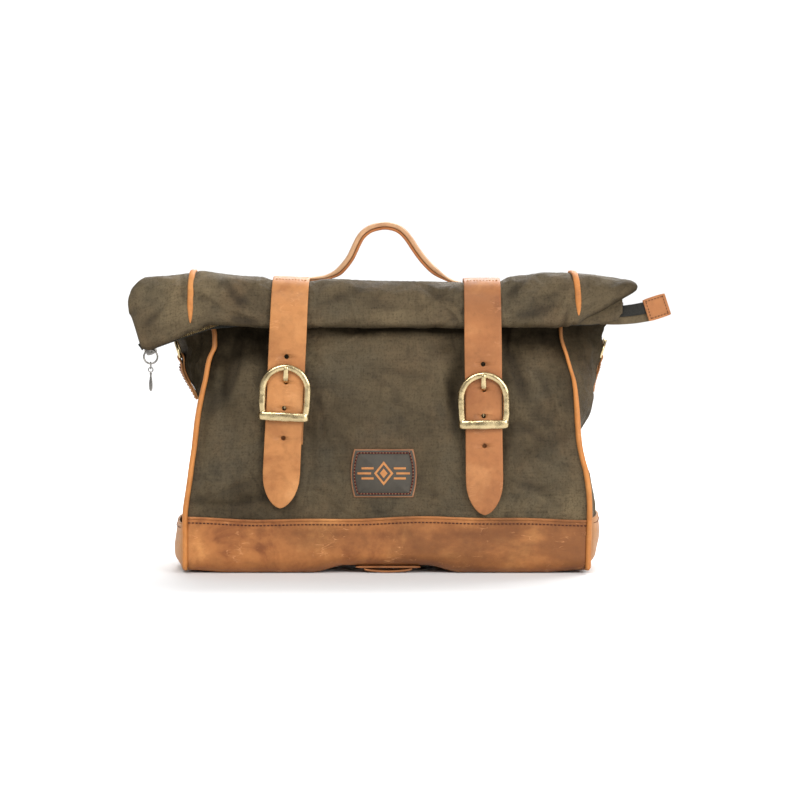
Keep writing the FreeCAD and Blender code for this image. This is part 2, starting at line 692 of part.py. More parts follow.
def zip_tail():
    """The tape's free end beyond the flap, and the leather tab that covers it."""
    (x0, z0), (x1, z1) = TAIL_START, TAIL_END
    strip = band([TAIL_START, TAIL_END], -TAIL_W / 2, TAIL_W / 2)
    save("zip_tail_tape", prism_y(strip, ZIP_Y - TAIL_T / 2, ZIP_Y + TAIL_T / 2))
    slope = math.degrees(math.atan2(z1 - z0, x1 - x0))
    tab = box(-2, END_TAB - 2, ZIP_Y - END_TAB_T / 2, ZIP_Y + END_TAB_T / 2, -END_TAB / 2, END_TAB / 2)
    tab.rotate(V(0, 0, 0), V(0, 1, 0), -END_TAB_TILT)
    tab.translate(V(x1, 0, z1))
    end = (x1 + 1, z1 + math.tan(math.radians(slope)))
    slot = band([TAIL_START, end], -TAIL_W / 2 - GAP, TAIL_W / 2 + GAP)
    half = TAIL_T / 2 + 0.1
    save("zip_end_tab", tab.cut(prism_y(slot, ZIP_Y - half, ZIP_Y + half)))


# ---------------------------------------------------------------- handle, rings, loops, label
def handle():
    points = [V(x, HANDLE_Y, z) for x, z in HANDLE_PATH]
    half = HANDLE_W / 2
    top = [V(p.x, HANDLE_Y - half, p.z) for p in points]
    upper = Part.BSplineCurve()
    upper.interpolate(top)
    lower = Part.BSplineCurve()
    inner = offset_line([(p.x, p.z) for p in points], -HANDLE_T)
    lower.interpolate([V(x, HANDLE_Y - half, z) for x, z in inner])
    ends = [Part.makeLine(upper.EndPoint, lower.EndPoint)]
    ends.append(Part.makeLine(lower.StartPoint, upper.StartPoint))
    face = Part.Face(Part.Wire(Part.__sortEdges__([upper.toShape(), lower.toShape()] + ends)))
    strap = face.extrude(V(0, HANDLE_W, 0))
    foot, knee = HANDLE_PIVOT_Z + 2.0, HANDLE_PIVOT_Z + 11.0
    head = HANDLE_PIVOT_Z + 80
    sole = HANDLE_PIVOT_Z - 20
    outline = [(-HANDLE_FOOT, sole), (-HANDLE_FOOT, foot), (-half, knee), (-half, head)]
    outline += [(half, head), (half, knee), (HANDLE_FOOT, foot), (HANDLE_FOOT, sole)]
    taper = prism_x([(HANDLE_Y + y, z) for y, z in outline], -100, 100)
    save("handle", strap.common(taper))


def d_ring(side):
    """D-ring, its bar along Y, standing up from the head of the tab."""
    (x0, z0), (x1, z1) = TAB_FOOT, TAB_HEAD
    length = math.hypot(x1 - x0, z1 - z0)
    lean = math.degrees(math.atan2(x1 - x0, z1 - z0))

    bar = rod(RING_WIRE_R, (0, -RING_HALF, 0), (0, RING_HALF, 0))
    ring = bar
    for y in (-RING_HALF, RING_HALF):
        ring = ring.fuse(rod(RING_WIRE_R, (0, y, 0), (0, y, RING_LEG)))
        ring = ring.fuse(Part.makeSphere(RING_WIRE_R, V(0, y, 0)))
    bow = Part.makeTorus(RING_HALF, RING_WIRE_R, V(0, 0, 0), V(0, 0, 1), 0, 360, 180)
    bow.rotate(V(0, 0, 0), V(1, 0, 0), 90)
    bow.rotate(V(0, 0, 0), V(0, 0, 1), 90)
    bow.translate(V(0, 0, RING_LEG))
    ring = ring.fuse(bow).removeSplitter()

    tab = box(-TAB_T / 2, TAB_T / 2, -TAB_W / 2, TAB_W / 2, -length, -1)
    tab = tab.fuse(rod(RING_EYE_R, (0, -TAB_W / 2, 0), (0, TAB_W / 2, 0)))
    tab = tab.cut(rod(RING_WIRE_R + PIVOT_GAP, (0, -TAB_W, 0), (0, TAB_W, 0))).removeSplitter()

    out = RING_EYE_R + TAB_OUT
    lean_r = math.radians(lean)
    place = V(x1 + out * math.cos(lean_r), 0, z1 - out * math.sin(lean_r))
    for name, shape in (("d_ring", ring), ("d_ring_tab", tab)):
        shape.rotate(V(0, 0, 0), V(0, 1, 0), lean)
        shape.translate(place)
        save(f"{name}_{side}", mirrored(shape) if side == "left" else shape)


def rear_loops():
    z0, z1 = LOOP_Z
    y = STATIONS[0][5] + LOOP_GAP
    out = y + LOOP_OPENING
    pads = (z0 + LOOP_PAD, z1 - LOOP_PAD)
    bridge = [(out, pads[0] + LOOP_RAMP), (out, pads[1] - LOOP_RAMP)]
    line = [(y, z0), (y, pads[0])] + bridge + [(y, pads[1]), (y, z1)]
    radius, depth = (RIVET_R * share for share in RIVET_DOME)
    face = y + STRAP_T + 0.1
    rivets = []
    for name, x in (("left", -LOOP_X), ("right", LOOP_X)):
        x0, x1 = x - LOOP_W / 2, x + LOOP_W / 2
        save(f"rear_loop_{name}", prism_x(band(line, 0.0, -STRAP_T), x0, x1))
        for rx in (x0 + RIVET_EDGE, x1 - RIVET_EDGE):
            for rz in (z0 + LOOP_PAD / 2, z1 - LOOP_PAD / 2):
                cap = Part.makeSphere(radius, V(rx, face - depth, rz))
                rivets.append(cap.common(box(rx - 9, rx + 9, face, face + 9, rz - 9, rz + 9)))
    save("rear_loop_rivets", rivets)


def bottom_loop():
    """Leather patch under the base and the loop that is sewn below it."""
    top = BASE_ARCH - GAP
    x, y = PATCH_HALF
    patch = box(-x, x, -y, y, top - PATCH_T, top)
    save("bottom_patch", patch.makeFillet(PATCH_R, upright_edges(patch)))
    loop_top = top - PATCH_T - GAP
    wide, flat = BOTTOM_LOOP_OUTER
    outer = [(-wide, loop_top), (-flat, 0), (flat, 0), (wide, loop_top)]
    wide, flat = BOTTOM_LOOP_INNER
    inner = [(wide, loop_top), (flat, 2.0), (-flat, 2.0), (-wide, loop_top)]
    save("bottom_loop", prism_y(outer + inner, -BOTTOM_LOOP_HALF_W, BOTTOM_LOOP_HALF_W))


def label():
    """Sewn patch with bowed ends."""
    cx, cz = LABEL_CENTRE
    half_w, half_h = LABEL_W / 2, LABEL_H / 2
    corner_x = half_w - LABEL_BOW

    def at(x, z):
        return V(cx + x, LABEL_FACE_Y, cz + z)

    edges = []
    for side in (-1, 1):
        low, high = at(side * corner_x, -half_h), at(side * corner_x, half_h)
        edges.append(Part.Arc(low, at(side * half_w, 0), high).toShape())
        edges.append(Part.makeLine(at(-corner_x, side * half_h), at(corner_x, side * half_h)))
    face = Part.Face(Part.Wire(Part.__sortEdges__(edges)))
    save("label_patch", face.extrude(V(0, LABEL_T, 0)))


def main():
    os.makedirs("parts", exist_ok=True)
    tub()
    base()
    collar()
    straps()
    zip_parts()
    zip_tail()
    handle()
    d_ring("right")
    d_ring("left")
    rear_loops()
    bottom_loop()
    label()


main()
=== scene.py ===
"""Looks of a fold-top canvas and leather saddlebag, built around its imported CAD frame.

Everything is in metres in the frame's own axes: +X to the bag's right as seen from the front, +Y to the back, +Z up.
Seams, heights and hardware places are read from the CAD nodes; the cloth between them is modelled here.
"""

import json
import math
import random

import bmesh
import bpy
from mathutils import Matrix, Vector, noise


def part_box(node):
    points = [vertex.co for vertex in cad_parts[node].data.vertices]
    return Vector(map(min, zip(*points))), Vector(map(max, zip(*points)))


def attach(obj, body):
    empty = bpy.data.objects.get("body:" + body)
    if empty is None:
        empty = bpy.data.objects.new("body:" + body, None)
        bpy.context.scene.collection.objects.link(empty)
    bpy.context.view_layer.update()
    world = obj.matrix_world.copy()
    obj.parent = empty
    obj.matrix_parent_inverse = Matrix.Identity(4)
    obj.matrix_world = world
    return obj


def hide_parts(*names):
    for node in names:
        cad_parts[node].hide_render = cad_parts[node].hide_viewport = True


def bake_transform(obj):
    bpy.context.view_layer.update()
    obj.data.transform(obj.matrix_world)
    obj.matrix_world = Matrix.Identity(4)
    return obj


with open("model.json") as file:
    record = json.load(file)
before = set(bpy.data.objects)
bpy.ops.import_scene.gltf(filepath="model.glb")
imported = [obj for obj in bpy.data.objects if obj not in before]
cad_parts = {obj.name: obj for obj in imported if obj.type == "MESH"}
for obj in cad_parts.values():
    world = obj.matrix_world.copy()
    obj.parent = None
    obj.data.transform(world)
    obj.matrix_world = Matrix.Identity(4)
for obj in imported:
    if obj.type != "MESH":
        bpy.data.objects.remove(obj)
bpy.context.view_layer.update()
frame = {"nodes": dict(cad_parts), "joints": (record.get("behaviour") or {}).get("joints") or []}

MM = 0.001
BAG = "bag"
FLAP = "flap"
SHIFT_X = -4 * MM  # the soft tub leans this far to one side
CANVAS_T = 1.6 * MM
LEATHER_T = 2.4 * MM
STRAP_T = 3.2 * MM
random.seed(7)


# ---------------------------------------------------------------- curves and places from the frame
def through(keys):
    """A smooth function through keys (t, value, ...) that doesn't overshoot; constant outside them."""
    ts = [k[0] for k in keys]
    rows = [k[1:] for k in keys]

    def slope(i, c):
        if i == 0 or i == len(ts) - 1:
            return 0.0
        before = (rows[i][c] - rows[i - 1][c]) / (ts[i] - ts[i - 1])
        after = (rows[i + 1][c] - rows[i][c]) / (ts[i + 1] - ts[i])
        return 0.0 if before * after <= 0 else 2 * before * after / (before + after)

    def at(t):
        if t <= ts[0]:
            return rows[0]
        if t >= ts[-1]:
            return rows[-1]
        i = max(k for k in range(len(ts) - 1) if ts[k] <= t)
        step = ts[i + 1] - ts[i]
        s = (t - ts[i]) / step
        out = []
        for c in range(len(rows[0])):
            a, b = rows[i][c], rows[i + 1][c]
            da, db = slope(i, c) * step, slope(i + 1, c) * step
            out.append(a * (1 + 2 * s) * (1 - s) ** 2 + da * s * (1 - s) ** 2
                       + b * s * s * (3 - 2 * s) - db * s * s * (1 - s))
        return tuple(out)

    return at


def levels(node, axis, share=0.5):
    """A CAD node's sections along an axis, as (place, lowest corner, highest corner)."""
    groups = {}
    for v in frame["nodes"][node].data.vertices:
        groups.setdefault(round(v.co[axis], 4), []).append(v.co)
    most = max(len(g) for g in groups.values())
    found = []
    for t in sorted(groups):
        g = groups[t]
        if len(g) >= share * most:
            low = Vector(min(p[i] for p in g) for i in range(3))
            high = Vector(max(p[i] for p in g) for i in range(3))
            found.append((t, low, high))
    return found


def ease(t):
    t = min(1.0, max(0.0, t))
    return t * t * (3 - 2 * t)


def mix(a, b, t):
    return a + (b - a) * t


def spot(t, centre, width):
    """A smooth bump of height 1."""
    return math.exp(-((t - centre) / width) ** 2)


def hum(p, scale, seed=0.0):
    """Smooth noise between about -1 and 1; scale is the size of its features."""
    return noise.noise(Vector((p[0], p[1], p[2])) / scale + Vector((seed, 1.7 * seed, -seed)))


def crease(x, z, line):
    """Height of one fold: line holds the middle, direction in degrees, length, width and height, all in mm."""
    cx, cz, angle, length, width, height = line
    c, s = math.cos(math.radians(angle)), math.sin(math.radians(angle))
    dx, dz = x / MM - cx, z / MM - cz
    along, off = dx * c + dz * s, dz * c - dx * s
    off += 0.0022 * along * along * (1 if height > 0 else -1)
    return height * MM * math.exp(-(off / width) ** 2 - (2 * along / length) ** 4)


def small_creases(count, span_x, span_z, height, seed, lean=90):
    """Many small random folds, half of them ridges and half of them hollows."""
    rng = random.Random(seed)
    lines = []
    for _ in range(count):
        lines.append((rng.uniform(*span_x), rng.uniform(*span_z), rng.gauss(lean, 55), rng.uniform(12, 48),
                      rng.uniform(1.4, 3.6), rng.choice((-1, 1)) * rng.uniform(0.35, 1.0) * height))
    return folds_by_cell(lines)


CELL = 16.0


def folds_by_cell(lines):
    """Sorts folds into square cells, so that relief() looks only at those near a point."""
    cells = {}
    for line in lines:
        cx, cz, _, length, _, _ = line
        for i in range(math.floor((cx - 0.8 * length) / CELL), math.floor((cx + 0.8 * length) / CELL) + 1):
            for k in range(math.floor((cz - 0.8 * length) / CELL), math.floor((cz + 0.8 * length) / CELL) + 1):
                cells.setdefault((i, k), []).append(line)
    return cells


def relief(x, z, cells):
    """Height of all the folds at a point."""
    return sum(crease(x, z, line) for line in cells.get((math.floor(x / MM / CELL), math.floor(z / MM / CELL)), ()))


# ---------------------------------------------------------------- mesh helpers
def new_object(name, verts, faces, uvs=None, smooth=True):
    mesh = bpy.data.meshes.new(name)
    mesh.from_pydata([tuple(v) for v in verts], [], faces)
    if uvs:
        layer = mesh.uv_layers.new(name="cloth")
        for loop in mesh.loops:
            layer.data[loop.index].uv = uvs[loop.vertex_index]
    if smooth:
        mesh.polygons.foreach_set("use_smooth", [True] * len(mesh.polygons))
    mesh.update()
    obj = bpy.data.objects.new(name, mesh)
    bpy.context.scene.collection.objects.link(obj)
    return obj


def face_out(obj):
    """Turns every face of a closed piece outward."""
    mesh = bmesh.new()
    mesh.from_mesh(obj.data)
    bmesh.ops.recalc_face_normals(mesh, faces=mesh.faces)
    mesh.to_mesh(obj.data)
    mesh.free()
    return obj


def sheet(name, point, nu, nv, size):
    """An open sheet of quads. point(u, v) is a place for u and v from 0 to 1; it faces along du x dv."""
    verts, uvs, faces = [], [], []
    for j in range(nv + 1):
        for i in range(nu + 1):
            u, v = i / nu, j / nv
            verts.append(point(u, v))
            uvs.append((u * size[0], v * size[1]))
    row = nu + 1
    for j in range(nv):
        for i in range(nu):
            a = j * row + i
            faces.append((a, a + 1, a + 1 + row, a + row))
    return new_object(name, verts, faces, uvs)


def tube(name, rings, uvs=None, caps=True):
    """A closed skin over rings of equally many points."""
    n = len(rings[0])
    verts = [p for ring in rings for p in ring]
    faces = []
    for j in range(len(rings) - 1):
        for i in range(n):
            a, b = j * n + i, j * n + (i + 1) % n
            faces.append((a, b, b + n, a + n))
    if caps:
        for ring_index, flip in ((0, True), (len(rings) - 1, False)):
            centre = sum((Vector(p) for p in rings[ring_index]), Vector()) / n
            verts.append(centre)
            for i in range(n):
                a, b = ring_index * n + i, ring_index * n + (i + 1) % n
                faces.append((b, a, len(verts) - 1) if flip else (a, b, len(verts) - 1))
    obj = new_object(name, verts, faces, uvs)
    return face_out(obj) if caps else obj


def sweep(name, path, profile, up=None, scale=None):
    """A solid swept along a path. profile holds (side, rise) pairs; up is the rise direction where it is fixed."""
    rings = []
    normal = Vector(up) if up is not None else None
    for i, p in enumerate(path):
        before, after = path[max(i - 1, 0)], path[min(i + 1, len(path) - 1)]
        forward = (after - before).normalized()
        if normal is None:
            normal = forward.orthogonal().normalized()
        rise = (normal - forward * normal.dot(forward)).normalized()
        if up is None:
            normal = rise
        side = forward.cross(rise)
        k = scale(i / (len(path) - 1)) if scale else 1.0
        rings.append([p + side * (a * k) + rise * (b * k) for a, b in profile])
    return tube(name, rings)


def rounded(width, height, power=4.0, sides=20):
    """A rounded rectangle as a profile for sweep()."""
    points = []
    for k in range(sides):
        a = 2 * math.pi * k / sides
        c, s = math.cos(a), math.sin(a)
        points.append((width / 2 * math.copysign(abs(c) ** (2 / power), c),
                       height / 2 * math.copysign(abs(s) ** (2 / power), s)))
    return points


def resample(points, step, closed=False):
    """Points along a smooth line through the given ones, about step apart."""
    pts = [Vector(p) for p in points]
    dense = []
    last = len(pts) - 1
    for i in range(last if not closed else last + 1):
        p0 = pts[(i - 1) % len(pts)] if closed or i else pts[0]
        p1, p2 = pts[i % len(pts)], pts[(i + 1) % len(pts)]
        p3 = pts[(i + 2) % len(pts)] if closed or i + 2 <= last else pts[last]
        n = max(2, math.ceil((p2 - p1).length / step))
        for k in range(n):
            t = k / n
            dense.append(0.5 * ((2 * p1) + (p2 - p0) * t + (2 * p0 - 5 * p1 + 4 * p2 - p3) * t * t
                                + (3 * p1 - p0 - 3 * p2 + p3) * t ** 3))
    if not closed:
        dense.append(pts[last])
    return dense


def apply_modifiers(obj):
    graph = bpy.context.evaluated_depsgraph_get()
    mesh = bpy.data.meshes.new_from_object(obj.evaluated_get(graph), depsgraph=graph)
    obj.modifiers.clear()
    obj.data = mesh
    return obj


def thicken(obj, thickness, offset=-1.0):
    solid = obj.modifiers.new("solid", "SOLIDIFY")
    solid.thickness = thickness
    solid.offset = offset
    return apply_modifiers(obj)


def soften(obj, count=1):
    smooth = obj.modifiers.new("subdivision", "SUBSURF")
    smooth.levels = smooth.render_levels = count
    return apply_modifiers(obj)


def merge(name, objects):
    """Joins objects into one piece."""
    mesh = bpy.data.meshes.new(name)
    build = bmesh.new()
    for obj in objects:
        build.from_mesh(obj.data)
    build.to_mesh(mesh)
    build.free()
    for obj in objects:
        bpy.data.objects.remove(obj)
    mesh.polygons.foreach_set("use_smooth", [True] * len(mesh.polygons))
    joined = bpy.data.objects.new(name, mesh)
    bpy.context.scene.collection.objects.link(joined)
    return joined


def fuse(obj, voxel, smoothing=3):
    """One watertight casting out of overlapping shells."""
    remesh = obj.modifiers.new("voxels", "REMESH")
    remesh.mode = "VOXEL"
    remesh.voxel_size = voxel
    remesh.use_smooth_shade = True
    smooth = obj.modifiers.new("smooth", "SMOOTH")
    smooth.factor = 0.5
    smooth.iterations = smoothing
    return apply_modifiers(obj)


def store(obj, name, value):
    """Stores a number at each vertex for the cloth's material."""
    layer = obj.data.attributes.new(name, "FLOAT", "POINT")
    for i, v in enumerate(obj.data.vertices):
        layer.data[i].value = value(v.co)


def rub_and_shade(obj, value):
    """Stores fold height at each vertex: above 0 on ridges, which the material paints paler as wear and painted
    highlight; below 0 in hollows, which it paints darker as painted shade.
    """
    store(obj, "rub_and_shade", value)


def dent(obj, depth, scale, seed=0.0):
    """Moves each vertex along its normal by smooth noise."""
    for v in obj.data.vertices:
        v.co += v.normal * depth * hum(v.co, scale, seed)
    obj.data.update()


def crumple(obj, held, growth, cap, frames=14, bending=0.6, pressure=0.0):
    """Cloth simulation in place: held(i, co) is how firmly a vertex stays; growth is the cloth's spare length."""
    rest = [v.co.copy() for v in obj.data.vertices]
    pins = obj.vertex_groups.new(name="pins")
    for i, co in enumerate(rest):
        pins.add([i], held(i, co), "REPLACE")
    cloth = obj.modifiers.new("cloth", "CLOTH")
    s = cloth.settings
    s.quality = 5
    s.mass = 0.2
    s.tension_stiffness = s.compression_stiffness = 20
    s.shear_stiffness = 8
    s.bending_stiffness = bending
    s.tension_damping = s.compression_damping = 10
    s.air_damping = 3
    s.vertex_group_mass = "pins"
    s.shrink_min = -growth
    if pressure:
        s.use_pressure = True
        s.uniform_pressure_force = pressure
    s.effector_weights.gravity = 0
    cloth.collision_settings.use_self_collision = False
    cloth.collision_settings.use_collision = False
    cloth.point_cache.frame_start = 1
    cloth.point_cache.frame_end = frames
    scene = bpy.context.scene
    for f in range(1, frames + 1):
        scene.frame_set(f)
    graph = bpy.context.evaluated_depsgraph_get()
    moved = [v.co.copy() for v in obj.evaluated_get(graph).data.vertices]
    obj.modifiers.remove(cloth)
    obj.vertex_groups.clear()
    scene.frame_set(1)
    for v, a, b in zip(obj.data.vertices, rest, moved):
        step = b - a
        far = step.length
        v.co = a + (step * (cap * math.tanh(far / cap) / far) if far > 1e-9 else step)
    obj.data.update()


# ---------------------------------------------------------------- materials
class Nodes:
    """A short way to write a node tree."""

    def __init__(self, name):
        self.material = bpy.data.materials.new(name)
        self.material.use_nodes = True
        self.tree = self.material.node_tree
        self.tree.nodes.clear()
        self.out = self.add("ShaderNodeOutputMaterial")
        self.shader = self.add("ShaderNodeBsdfPrincipled")
        self.link(self.shader.outputs[0], self.out.inputs[0])
        self.place = self.add("ShaderNodeTexCoord")

    def add(self, kind, **values):
        node = self.tree.nodes.new(kind)
        for key, value in values.items():
            if hasattr(node, key):
                setattr(node, key, value)
            else:
                node.inputs[key.replace("_", " ")].default_value = value
        return node

    def link(self, a, b):
        self.tree.links.new(a, b)

    def coords(self, kind="Object", scale=(1, 1, 1), turn=(0, 0, 0)):
        mapping = self.add("ShaderNodeMapping")
        mapping.inputs["Scale"].default_value = scale
        mapping.inputs["Rotation"].default_value = turn
        self.link(self.place.outputs[kind], mapping.inputs["Vector"])
        return mapping.outputs[0]

    def noise(self, size, detail=4.0, roughness=0.55, coords=None, distortion=0.0):
        """Noise whose features are about size metres across."""
        node = self.add("ShaderNodeTexNoise", Scale=1 / size, Detail=detail, Roughness=roughness,
                        Distortion=distortion)
        self.link(coords or self.coords(), node.inputs["Vector"])
        return node.outputs["Fac"]

    def ramp(self, value, stops, smooth=True):
        node = self.add("ShaderNodeValToRGB")
        ramp = node.color_ramp
        ramp.interpolation = "EASE" if smooth else "LINEAR"
        while len(ramp.elements) < len(stops):
            ramp.elements.new(0.5)
        for element, (place, colour) in zip(ramp.elements, stops):
            element.position = place
            element.color = (*colour, 1) if len(colour) == 3 else colour
        self.link(value, node.inputs[0])
        return node.outputs[0]

    def math(self, how, a, b=None, clamp=False):
        node = self.add("ShaderNodeMath")
        node.operation = how
        node.use_clamp = clamp
        for socket, value in zip(node.inputs, (a, b)):
            if value is None:
                continue
            if isinstance(value, (int, float)):
                socket.default_value = value
            else:
                self.link(value, socket)
        return node.outputs[0]

    def blend(self, factor, a, b, how="MIX"):
        node = self.add("ShaderNodeMix")
        node.data_type = "RGBA"
        node.blend_type = how
        for index, value in ((0, factor), (6, a), (7, b)):
            if isinstance(value, (int, float)):
                node.inputs[index].default_value = value
            elif isinstance(value, tuple):
                node.inputs[index].default_value = (*value, 1)
            else:
                self.link(value, node.inputs[index])
        return node.outputs[2]

    def span(self, value, low, high, out_low=0.0, out_high=1.0):
        node = self.add("ShaderNodeMapRange")
        for index, number in ((1, low), (2, high), (3, out_low), (4, out_high)):
            node.inputs[index].default_value = number
        self.link(value, node.inputs[0])
        return node.outputs[0]

    def bump(self, height, strength, distance, under=None):
        node = self.add("ShaderNodeBump", Strength=strength, Distance=distance)
        self.link(height, node.inputs["Height"])
        if under:
            self.link(under, node.inputs["Normal"])
        return node.outputs[0]

    def finish(self, colour=None, roughness=None, normal=None, **values):
        for name, value in (("Base Color", colour), ("Roughness", roughness), ("Normal", normal)):
            if value is None:
                continue
            if isinstance(value, (int, float)):
                self.shader.inputs[name].default_value = value
            elif isinstance(value, tuple):
                self.shader.inputs[name].default_value = (*value, 1)
            else:
                self.link(value, self.shader.inputs[name])
        for key, value in values.items():
            self.shader.inputs[key.replace("_", " ")].default_value = value
        return self.material


def weave(nodes, pitch):
    """Height of a plain weave over the piece's own cloth coordinates."""
    across = nodes.add("ShaderNodeTexWave", Scale=0.5 / pitch, Distortion=0.6, Detail=1.0)
    along = nodes.add("ShaderNodeTexWave", Scale=0.5 / pitch, Distortion=0.6, Detail=1.0)
    across.bands_direction, along.bands_direction = "X", "Y"
    for wave in (across, along):
        nodes.link(nodes.place.outputs["UV"], wave.inputs["Vector"])
    return nodes.math("MULTIPLY", nodes.math("ADD", across.outputs["Fac"], along.outputs["Fac"]), 0.5)


def waxed_canvas():
    """Olive-brown canvas: wax makes broad dark and pale clouds, and each old crease leaves a dusty line. Fold ridges
    are painted paler, as wear and painted highlight; fold hollows and the shaded spots are painted darker, as painted
    shade.
    """
    n = Nodes("waxed_canvas")
    clouds = n.noise(0.11, 5, 0.6, distortion=0.6)
    patches = n.noise(0.028, 6, 0.65)
    base = n.ramp(clouds, [(0.30, (0.050, 0.036, 0.0195)), (0.52, (0.100, 0.074, 0.041)), (0.72, (0.165, 0.123, 0.067))])
    rust = n.ramp(n.noise(0.05, 5, 0.7, n.coords(scale=(1, 1, 0.8))), [(0.45, (0, 0, 0)), (0.75, (1, 1, 1))])
    base = n.blend(n.math("MULTIPLY", rust, 0.55), base, (0.145, 0.095, 0.050))
    moss = n.ramp(n.noise(0.06, 4, 0.6, n.coords(turn=(0, 0.4, 0))), [(0.46, (0, 0, 0)), (0.68, (1, 1, 1))])
    base = n.blend(n.math("MULTIPLY", moss, 0.45), base, (0.080, 0.068, 0.045))
    mottle = n.span(patches, 0.3, 0.7, 0.64, 1.40)
    base = n.blend(1.0, base, n.blend(mottle, (0, 0, 0), (1, 1, 1)), "MULTIPLY")
    # thin pale crease lines where a stretched noise crosses its middle value
    lines = None
    for turn, size in ((0.5, 0.09), (-0.9, 0.07), (1.4, 0.12)):
        field = n.noise(size, 2, 0.45, n.coords(scale=(1, 1, 2.6), turn=(0, turn, 0)), 0.4)
        line = n.math("SUBTRACT", 1.0, n.math("MULTIPLY", n.math("ABSOLUTE", n.math("SUBTRACT", field, 0.5)), 30.0),
                      clamp=True)
        lines = line if lines is None else n.math("MAXIMUM", lines, line)
    where = n.ramp(n.noise(0.04, 3), [(0.52, (0, 0, 0)), (0.68, (1, 1, 1))])
    crease = n.math("MULTIPLY", lines, where)
    base = n.blend(n.math("MULTIPLY", crease, 0.12), base, (0.20, 0.150, 0.080))
    slubs = n.noise(0.0022, 3, 0.6, n.coords("UV", scale=(0.10, 1, 1)))
    yarns = n.noise(0.0022, 3, 0.6, n.coords("UV", scale=(1, 0.10, 1)))
    threads = n.math("ADD", n.span(slubs, 0.3, 0.7, -0.5, 0.5), n.span(yarns, 0.3, 0.7, -0.5, 0.5))
    base = n.blend(1.0, base, n.blend(n.span(threads, -1.0, 1.0, 0.60, 1.40), (0, 0, 0), (1, 1, 1)), "MULTIPLY")
    # fold ridges are painted paler, partly as wear and partly as painted highlight; fold hollows are painted darker, as
    # painted shade
    worn = n.add("ShaderNodeAttribute")
    worn.attribute_name = "rub_and_shade"
    ridge = n.span(worn.outputs["Fac"], 0.1, 1.1)
    painted_crease_shade = n.span(worn.outputs["Fac"], -0.1, -1.3)
    broken = n.span(n.noise(0.004, 4, 0.7), 0.40, 0.62, 0.15, 1.0)
    base = n.blend(n.math("MULTIPLY", n.math("MULTIPLY", ridge, broken), 0.24), base, (0.170, 0.126, 0.070))
    base = n.blend(n.math("MULTIPLY", painted_crease_shade, 0.62), base, (0.024, 0.017, 0.010))
    speck = n.noise(0.0019, 3, 0.7)
    base = n.blend(1.0, base, n.blend(n.span(speck, 0.32, 0.68, 0.62, 1.42), (0, 0, 0), (1, 1, 1)), "MULTIPLY")
    # painted shade: darker places under the roll, in folds and beside the straps, with less reflection there
    dark = n.add("ShaderNodeAttribute")
    dark.attribute_name = "shade"
    painted_pocket_shade = n.math("MULTIPLY", dark.outputs["Fac"], n.span(n.noise(0.02, 4, 0.6), 0.3, 0.6, 0.8, 1.0), clamp=True)
    base = n.blend(n.math("MULTIPLY", painted_pocket_shade, 0.92), base, (0.008, 0.006, 0.004))
    n.link(n.span(painted_pocket_shade, 0.0, 0.8, 0.15, 0.0), n.shader.inputs["Specular IOR Level"])
    cloth = weave(n, 0.62 * MM)
    grain = n.noise(0.0012, 3, 0.6)
    base = n.blend(n.math("MULTIPLY", grain, 0.35), base, n.blend(1.0, base, (1.35, 1.3, 1.25), "MULTIPLY"))
    base = n.blend(n.span(cloth, 0.2, 0.8, 0.0, 0.30), base, n.blend(1.0, base, (0.55, 0.55, 0.55), "MULTIPLY"))
    normal = n.bump(cloth, 0.5, 0.0004)
    normal = n.bump(n.noise(0.012, 5, 0.6), 0.35, 0.0015, normal)
    normal = n.bump(crease, 0.15, 0.0006, normal)
    rough = n.span(patches, 0.3, 0.7, 0.52, 0.74)
    return n.finish(base, rough, normal)


def axes(nodes):
    """The piece's own x and z."""
    split = nodes.add("ShaderNodeSeparateXYZ")
    nodes.link(nodes.place.outputs["Object"], split.inputs[0])
    return split.outputs[0], split.outputs[2]


